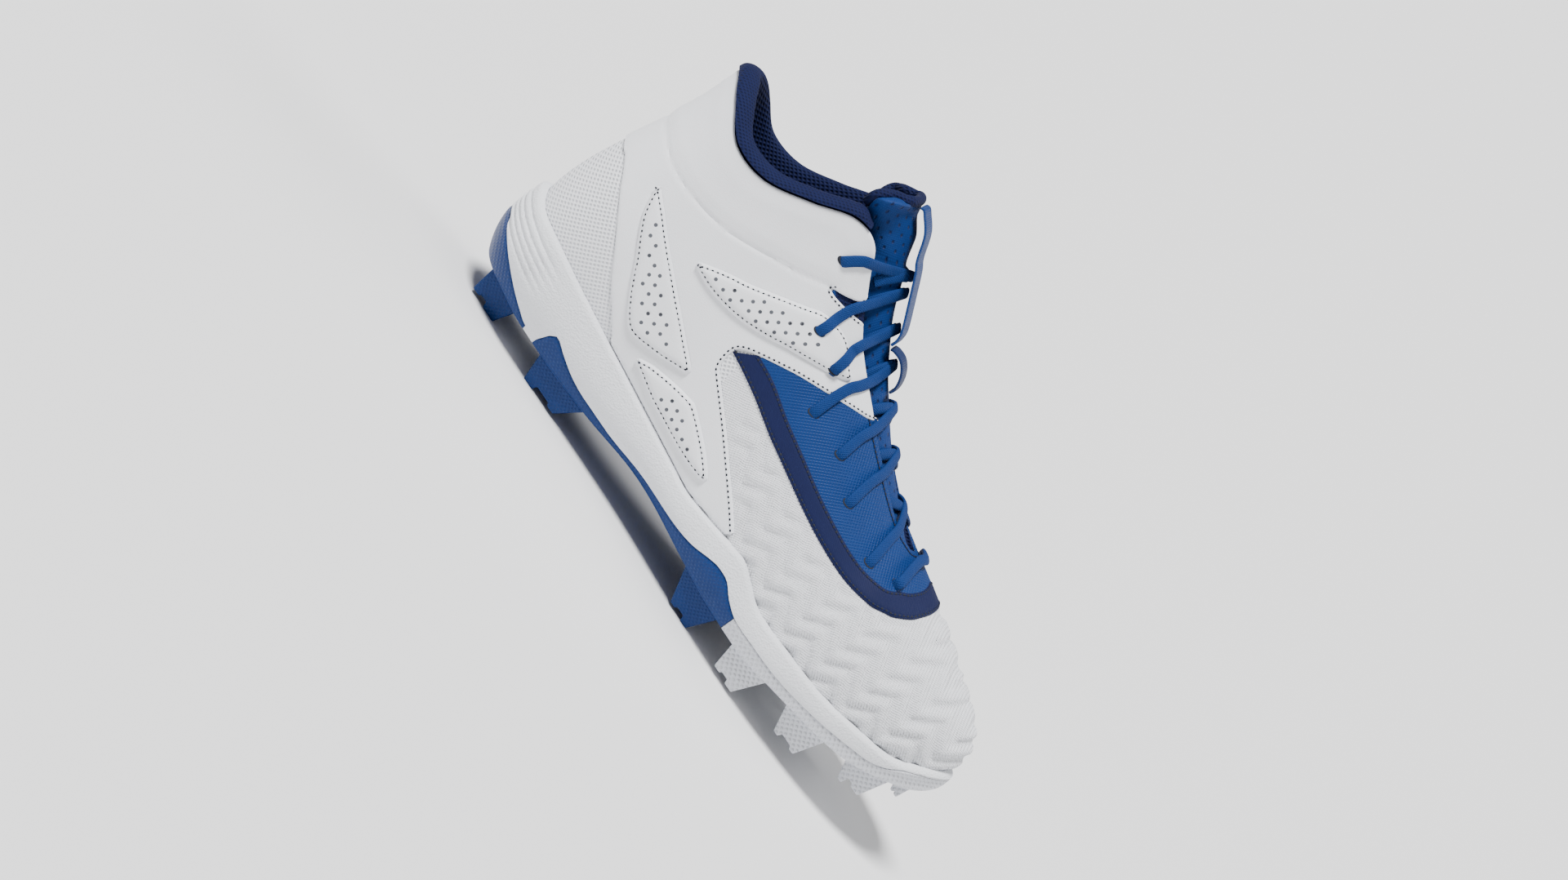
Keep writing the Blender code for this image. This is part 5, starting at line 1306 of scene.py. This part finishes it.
def tube(centres, outs, faces_out, radius_out, radius_face, sides=16, squareness=1.0):
    """A cord or band of rounded section along centres; uv runs along it and round it."""
    turns = np.linspace(0, 2 * math.pi, sides, endpoint=False)
    c, s = np.cos(turns), np.sin(turns)
    c, s = np.sign(c) * np.abs(c) ** squareness, np.sign(s) * np.abs(s) ** squareness
    rings = centres[:, None] + outs[:, None] * (c * radius_out)[None, :, None]
    rings = rings + faces_out[:, None] * (s * radius_face)[None, :, None]
    run = np.concatenate([[0], np.cumsum(np.linalg.norm(np.diff(centres, axis=0), axis=1))])
    girth = np.broadcast_to(c * radius_out, (len(centres), sides))
    uvs = np.stack([np.broadcast_to(run[:, None], girth.shape), girth], 2).reshape(-1, 2)
    verts, faces = loft_mesh(rings)
    return verts, faces, uvs


def build_binding():
    top = len(TONGUE) - 1
    sides = [tongue_line(tongue_station(place), TONGUE_THICKNESS / 2, 6) for place in BINDING_PLACES]
    last = tongue_line(tongue_station(top), TONGUE_THICKNESS / 4, 6)
    before = tongue_line(tongue_station(top - 0.3), TONGUE_THICKNESS / 4, 6)
    over = unit(last - before)
    path = [(line[0], unit(line[0] - line[1])) for line in sides]
    path += [(last[i], over[i]) for i in range(2, len(last) - 2)]
    path += [(line[-1], unit(line[-1] - line[-2])) for line in sides[::-1]]
    edge, outs = (np.array(values) for values in zip(*path))
    line = even(smooth(np.concatenate([edge, outs], 1), 8), 1.0 * MM)
    for _ in range(12):
        line[1:-1] = (line[:-2] + 2 * line[1:-1] + line[2:]) / 4
    edge, outs = line[:, :3], unit(line[:, 3:])
    tangents = unit(np.gradient(edge, axis=0))
    outs = unit(outs - tangents * np.sum(outs * tangents, 1)[:, None])
    centres = edge + outs * BINDING_RADIUS * 0.6
    verts, faces, uvs = tube(centres, outs, np.cross(tangents, outs), BINDING_RADIUS, BINDING_RADIUS)
    return turn_out(add_mesh("tongue_binding_roll", verts, faces, [LINING], ["tongue_binding"],
                             uvs=uvs))


def banded(points, normals, spacing=0.8 * MM):
    """A path at an even spacing, with its sideways and facing directions."""
    line = smooth(np.concatenate([points, unit(np.array(normals))], 1), 8)
    line = even(line, spacing)
    at, normal = line[:, :3], unit(line[:, 3:])
    tangent = unit(np.gradient(at, axis=0))
    aside = unit(np.cross(tangent, normal))
    return at, aside, np.cross(aside, tangent)


def build_strap(name, table, width, look, node):
    points = np.array([tongue_point(place, 0.0, rise * STRAP_WIDTH) for place, rise in table])
    way = np.gradient(points, axis=0)
    normals = np.stack([-way[:, 2], np.zeros(len(points)), way[:, 0]], 1)
    at, aside, facing = banded(points, normals)
    verts, faces, uvs = tube(at, aside, facing, width / 2, STRAP_THICKNESS / 2, 24, 0.42)
    return turn_out(add_mesh(name, verts, faces, [look], [node], uvs=uvs))


# Laces: each comes up through its eyelet, crosses the throat and goes down under the far edge

# Ways from the eyelet, 0, to the throat's edge, 1, with the lift there as a share of LACE_FULLNESS
LACE_WAYS = ((-0.10, -1.6), (-0.06, -0.3), (0.00, 0.8), (0.10, 1.15), (0.30, 1.1), (0.55, 1.1),
             (0.80, 1.15), (1.0, 1.3))
# Shares of the tongue from its middle towards the far side
LACE_SHARES = (0.0, 0.16, 0.32, 0.46, 0.55, 0.64)
LACE_FULLNESS, LACE_HALF_WIDTH = 0.95 * MM, 2.45 * MM
LACE_CLEARANCE, LACE_CROSSING = 0.3 * MM, 1.2 * MM
BAR_ENDS = ((13.44, 0.655, -1.2), (13.50, 0.672, 0.2))
BAR_RISE = BAR_LIFT + 0.2 * MM
# Eyelets, dark ovals of painted shadow and hole shade under the laces' ends: how far each lies behind its
# lace's place, half the oval's size, and its rings' share of that size with their lift
EYELET_SHIFT, BAR_EYELET = 0.05, (LACE_BAR[0][0] - 0.03, LACE_BAR[0][1] - 0.012)
EYELET_LONG, EYELET_WIDE, EYELET_AROUND = 2.9 * MM, 1.7 * MM, 24
EYELET_RINGS = ((1.0, -0.6 * MM), (1.0, 0.12 * MM), (0.8, 0.22 * MM))
GROUND_REACH = 12 * MM


def ground_under(row, reach):
    """How high what is built stands off the upper's face at a place."""
    normal, at = upper_normal(row, reach), upper_point(row, reach)
    hit = GROUND.ray_cast(Vector(at + normal * GROUND_REACH), Vector(-normal), GROUND_REACH)
    return 0.0 if hit[0] is None else GROUND_REACH - hit[3]


def ground_tree(pieces):
    verts, faces, start = [], [], 0
    for obj in pieces:
        verts += [v.co.copy() for v in obj.data.vertices]
        faces += [[i + start for i in face.vertices] for face in obj.data.polygons]
        start = len(verts)
    return BVHTree.FromPolygons(verts, faces)


def lace_path(lace, side, extra):
    eyelet_row, eyelet_reach, edge_row, middle, far = lace
    points, normals = [], []
    for way, lift in LACE_WAYS:
        row = (eyelet_row + (edge_row - eyelet_row) * way) * (1 if side == OUTER else -1)
        reach = min(eyelet_reach + (1 - eyelet_reach) * way, 0.985)
        points.append(off_upper(row, reach, ground_under(row, reach) + LACE_FULLNESS * lift))
        normals.append(upper_normal(row, reach))
    for share in LACE_SHARES:
        place = middle + (far - middle) * share
        lift = LACE_FULLNESS + LACE_CLEARANCE + extra * max(1 - 4 * share**2, 0)
        across = -side * share
        point, normal = tongue_point(place, across, 0.0), tongue_normal(place, across)
        points.append(point + normal * lift)
        normals.append(normal)
    points = np.array(points)
    edge = len(LACE_WAYS) - 1
    before, here, after = (points[edge + i:edge + i + 2] for i in (-2, -1, 0))
    points[edge - 1:edge + 1] = (before + 2 * here + after) / 4
    return points, np.array(normals)


def lace_tube(points, normals):
    return tube(*banded(points, normals), LACE_HALF_WIDTH, LACE_FULLNESS, 18, 0.8)


def build_laces():
    for number, lace in enumerate(LACES, 1):
        strands = [lace_tube(*lace_path(lace, side, extra))
                   for side, extra in ((OUTER, LACE_CROSSING), (INNER, 0.0))]
        verts, faces = joined([strand[:2] for strand in strands])
        turn_out(add_mesh(f"lace_{number}_cord", verts, faces, [LACE], [f"lace_{number}"],
                          uvs=np.concatenate([strand[2] for strand in strands])))
    ends = BAR_ENDS + tuple((*place, 1.0) for place in LACE_BAR)
    spots = ends + tuple((-row, reach, lift) for row, reach, lift in ends[-2::-1])
    points = np.array([off_upper(row, reach, BAR_RISE * lift) for row, reach, lift in spots])
    verts, faces, uvs = lace_tube(points, [upper_normal(row, reach) for row, reach, _ in spots])
    turn_out(add_mesh("lace_bar_cord", verts, faces, [LACE], ["lace_bar"], uvs=uvs))


def build_eyelet_shades():
    """Each lace's hole in the eyestay, with its shade and the lace's shadow painted as a dark oval let into
    what it lies on.
    """
    spots = [(row - EYELET_SHIFT * (edge_row - row), reach - EYELET_SHIFT * (1 - reach))
             for row, reach, edge_row, _, _ in LACES]
    turns = np.linspace(0, 2 * math.pi, EYELET_AROUND, endpoint=False)
    ovals = []
    for row, reach in spots + [BAR_EYELET]:
        for turn in (row, -row):
            centre, normal = off_upper(turn, reach, ground_under(turn, reach)), upper_normal(turn, reach)
            way = unit(upper_point(turn, reach + 0.02) - upper_point(turn, reach - 0.02))
            long, wide = np.cross(normal, way) * EYELET_LONG, way * EYELET_WIDE
            ovals.append(loft_mesh([[centre + (long * math.cos(a) + wide * math.sin(a)) * size + normal * lift
                                     for a in turns] for size, lift in EYELET_RINGS]))
    verts, faces = joined(ovals)
    return turn_out(add_mesh("eyelet_shade_ovals", verts, faces, [HOLE_SHADE]))


# Midsole

HEEL_PIECE_END, MID_PIECE_START, MID_PIECE_END = -0.348, -0.323, 0.1465
RIBS = ((0.196, 0.158, -0.345), (0.176, 0.135, -0.345), (0.158, 0.112, -0.350), (0.222, 0.182, -0.350),
        (0.138, 0.092, -0.362))
RIM_BEVEL = 1.9 * MM
FACE_STEPS = 34


def row_at(x_share):
    """The row whose rim station is at x."""
    rows = np.linspace(0, LAST_ROW, 2001)
    return float(np.interp(x_share, side_frame(rows)[2], rows))


def rib_depth(u, z):
    """How deep the heel's ribs are at a row and heights."""
    row = min(abs(u), ROUND - abs(u)) if abs(u) > LAST_ROW else abs(u)
    depth = np.zeros(len(z))
    for back_z, front_z, front_x in RIBS:
        last = RIB_ENDS[front_x]
        if row < last:
            middle = float(height(back_z + (front_z - back_z) * (row / last) ** 1.3))
            fade = float(smoothstep(0, 0.25, 1 - row / last))
            depth = depth + RIB_DEPTH * fade * np.exp(-((z - middle) / (0.75 * MM)) ** 2)
    return depth


RIB_ENDS = {front_x: row_at(front_x) for _, _, front_x in RIBS}


def behind_wrap(side, gap):
    plate_top = side.plate + PLATE_THICKNESS
    shelf = max(side.band, plate_top)
    return [side.at(side.width(shelf) - WRAP_THICKNESS - gap, shelf + gap),
            side.at(side.width(plate_top) - WRAP_THICKNESS - gap, plate_top + gap)]


def midsole_ring(u, covered):
    halves = []
    for side in (Side(u), Side(ROUND - u)):
        reaches = np.linspace(0.02, side.rim_reach, 6)
        cup = [off_upper(side.u, reach, SEAT * 0.4) for reach in reaches]
        turns = np.linspace(0, math.pi / 2, 6)
        out = side.width(side.rim - RIM_BEVEL) - side.lip
        top = [side.at(side.lip + 0.15 * MM + (out - 0.15 * MM) * math.sin(a) ** 1.3,
                       side.rim - RIM_BEVEL * (1 - math.cos(a)) ** 1.1) for a in turns]
        low = side.band + GAP if covered else side.plate
        z = np.linspace(side.rim - RIM_BEVEL, low, FACE_STEPS)[1:]
        depth = rib_depth(side.u, z)
        face = [side.at(side.width(level) - cut, level) for level, cut in zip(z, depth)]
        base = behind_wrap(side, GAP) if covered else [face[-1], face[-1]]
        halves.append((cup, top + face, base))
    (cup_a, face_a, base_a), (cup_b, face_b, base_b) = halves
    return cup_a + face_a + base_a + base_b[::-1] + face_b[::-1] + cup_b[::-1]


def sole_rows(first, last, step=0.1):
    return np.linspace(first, last, max(3, int(round((last - first) / step))))


def build_midsole():
    land_start, land_end = row_at(HEEL_PIECE_END), row_at(MID_PIECE_START)
    parts = [(sole_rows(0.0, land_start), True), (sole_rows(land_start + 0.01, land_end - 0.01, 0.05), False),
             (sole_rows(land_end, LAST_ROW), True)]
    rings = [midsole_ring(row, covered) for rows, covered in parts for row in rows]
    verts, faces = loft_mesh(rings, (False, False))
    return turn_out(weld(add_mesh("midsole_foam", verts, faces, [FOAM], ["midsole"])))


# Outsole: a wrap up the side, a plate underneath and its studs

WRAP_STEP_COUNT = 12
STUD_BEVEL = 0.9 * MM


def outsole_ring(u):
    halves = []
    for side in (Side(u), Side(ROUND - u)):
        tall = side.band - side.plate
        steps = np.linspace(1, 0, WRAP_STEP_COUNT)
        round_in = 0.5 * MM * np.exp(-(((1 - steps) * tall) / (0.5 * MM)) ** 2)
        outer = [side.skin(side.plate + tall * step, inset) for step, inset in zip(steps, round_in)]
        outer.append(side.skin(side.plate, 1.5 * MM) - np.array([0, 0, 0.5 * MM]))
        shelf = max(side.band, side.plate + PLATE_THICKNESS)
        inner = [side.at(side.width(shelf) - WRAP_THICKNESS, shelf - 0.1 * MM),
                 side.at(side.width(side.plate) - WRAP_THICKNESS, side.plate + PLATE_THICKNESS)]
        halves.append((outer, inner))
    (outer_a, inner_a), (outer_b, inner_b) = halves
    f = np.linspace(0, 1, 12)[1:-1, None]
    under = list(outer_a[-1] * (1 - f) + outer_b[-1] * f)
    return outer_a + under + outer_b[::-1] + inner_b + inner_a[::-1]


def stud_mesh(stud, y_root, y_tip):
    """A stud with rounded edges, as points and faces."""
    bm = bmesh.new()
    rings = [[bm.verts.new(p) for p in ring] for ring in stud_rings(stud, y_root, y_tip)]
    count = len(rings[0])
    bm.faces.new(rings[0])
    bm.faces.new(rings[1][::-1])
    for i in range(count):
        j = (i + 1) % count
        bm.faces.new((rings[0][j], rings[0][i], rings[1][i], rings[1][j]))
    bmesh.ops.recalc_face_normals(bm, faces=bm.faces)
    bmesh.ops.bevel(bm, geom=list(bm.edges), offset=STUD_BEVEL, segments=3, profile=0.6, affect="EDGES",
                    clamp_overlap=True)
    bm.verts.index_update()
    verts = np.array([tuple(v.co) for v in bm.verts])
    faces = [tuple(v.index for v in face.verts) for face in bm.faces]
    bm.free()
    return verts, faces


def build_outsole(piece, first, last, look):
    """One piece of the sole, from row first to row last, with its studs."""
    parts = [loft_mesh([outsole_ring(row) for row in sole_rows(first, last)], (first > 0, last < LAST_ROW))]
    for stud in STUDS[piece]:
        for side in (OUTER, INNER):
            edge = min(abs(plate_edge(stud[0], side)), abs(plate_edge(stud[1], side))) - STUD_INSET
            root = np.array([edge, edge - STUD_ROOT_WIDTH]) * side
            tip = np.array([edge - STUD_LEAN, edge - STUD_LEAN - STUD_TIP_WIDTH]) * side
            parts.append(stud_mesh(stud, root, tip))
    if piece == "front":
        middle, half = float(centre_y(TOE_STUD[0] * LENGTH)), np.array([-TOE_STUD_HALF, TOE_STUD_HALF])
        parts.append(stud_mesh(TOE_STUD, middle + half, middle + half * TOE_STUD_TAPER))
    verts, faces = joined(parts)
    return turn_out(weld(add_mesh(f"outsole_{piece}_rubber", verts, faces, [look],
                                  [f"outsole_{piece}"])))


def build_insole():
    inset = WALL + 2 * GAP
    rings = []
    for row in sole_rows(0.3, LAST_ROW - 0.15, 0.25):
        halves = []
        for side in (Side(row), Side(ROUND - row)):
            low, high = side.at(-inset, side.bed), side.at(-inset, side.bed + INSOLE_THICKNESS * 0.8)
            crown = side.at(-inset - 0.8 * MM, side.bed + INSOLE_THICKNESS)
            halves.append((low, high, crown))
        (low_a, high_a, crown_a), (low_b, high_b, crown_b) = halves
        f = np.linspace(0, 1, 10)[1:-1, None]
        over = crown_b * (1 - f) + crown_a * f
        rings.append([low_a, low_b, high_b, crown_b] + list(over) + [crown_a, high_a])
    verts, faces = loft_mesh(rings)
    return turn_out(add_mesh("insole_board", verts, faces, [INSOLE], ["insole"]))


# Floor, lights and camera

ELEVATION = math.radians(12.5)
ROLL = math.radians(56.0)
DISTANCE = 1.9
FOCAL = 102.9
AIM = (-0.0049, 0.070)
SENSOR_WIDTH, CLIP_END = 36.0, 300
FLOOR_HALF, SKY_STRENGTH = 60.0, 0.36
# Suns: name, place, strength and spread in degrees
SUNS = (("key", (-0.50, -0.60, 1.5), 6.1, 16), ("rim", (1.2, 0.9, 1.0), 1.2, 30))


def add_floor():
    mesh = bpy.data.meshes.new("floor")
    corners = [(x * FLOOR_HALF, y * FLOOR_HALF, 0) for x, y in ((-1, -1), (1, -1), (1, 1), (-1, 1))]
    mesh.from_pydata(corners, [], [(0, 1, 2, 3)])
    floor = new_object("floor", mesh)
    look = Look("floor_pale", FLOOR_GREY, 0.9)
    mesh.materials.append(look.bump(look.noise(20 * MM), 0.02 * MM).material)


def add_sun(name, place, strength, spread):
    light = bpy.data.lights.new(name, "SUN")
    light.energy, light.angle = strength, math.radians(spread)
    obj = new_object(name, light)
    obj.location = place
    obj.rotation_euler = Vector(place).to_track_quat("Z", "Y").to_euler()


def add_studio():
    world = bpy.data.worlds.new("studio")
    world.use_nodes = True
    world.node_tree.nodes["Background"].inputs["Color"].default_value = (1.0, 1.0, 1.0, 1)
    world.node_tree.nodes["Background"].inputs["Strength"].default_value = SKY_STRENGTH
    bpy.context.scene.world = world
    for sun in SUNS:
        add_sun(*sun)


def add_camera():
    level = Vector((1, 0, 0))
    back = Vector((0, -math.cos(ELEVATION), math.sin(ELEVATION)))
    up = back.cross(level)
    target = level * AIM[0] + up * AIM[1]
    right = level * math.cos(ROLL) + up * math.sin(ROLL)
    top = level * -math.sin(ROLL) + up * math.cos(ROLL)
    camera = bpy.data.cameras.new("camera")
    camera.lens, camera.sensor_width = FOCAL, SENSOR_WIDTH
    camera.clip_end = CLIP_END
    obj = new_object("camera", camera)
    turn = Matrix((right, top, back)).transposed().to_4x4()
    obj.matrix_world = Matrix.Translation(target + back * DISTANCE) @ turn
    bpy.context.scene.camera = obj


GROUND = ground_tree([build_upper(), build_quarter()] + build_vamp() + build_pads())
build_lining()
build_tongue()
build_binding()
build_strap("pull_strap", PULL_STRAP, STRAP_WIDTH * 1.25, WEBBING, "tongue_strap")
build_strap("keeper_loop", LACE_KEEPER, STRAP_WIDTH, WEBBING_NAVY, "lace_keeper")
build_laces()
build_eyelet_shades()
build_midsole()
build_outsole("heel", 0.0, row_at(HEEL_PIECE_END), STUD_BLUE)
build_outsole("mid", row_at(MID_PIECE_START), row_at(MID_PIECE_END), STUD_BLUE)
build_outsole("front", row_at(MID_PIECE_END + GAP / LENGTH), LAST_ROW, STUD_WHITE)
build_insole()
add_floor()
add_studio()
add_camera()
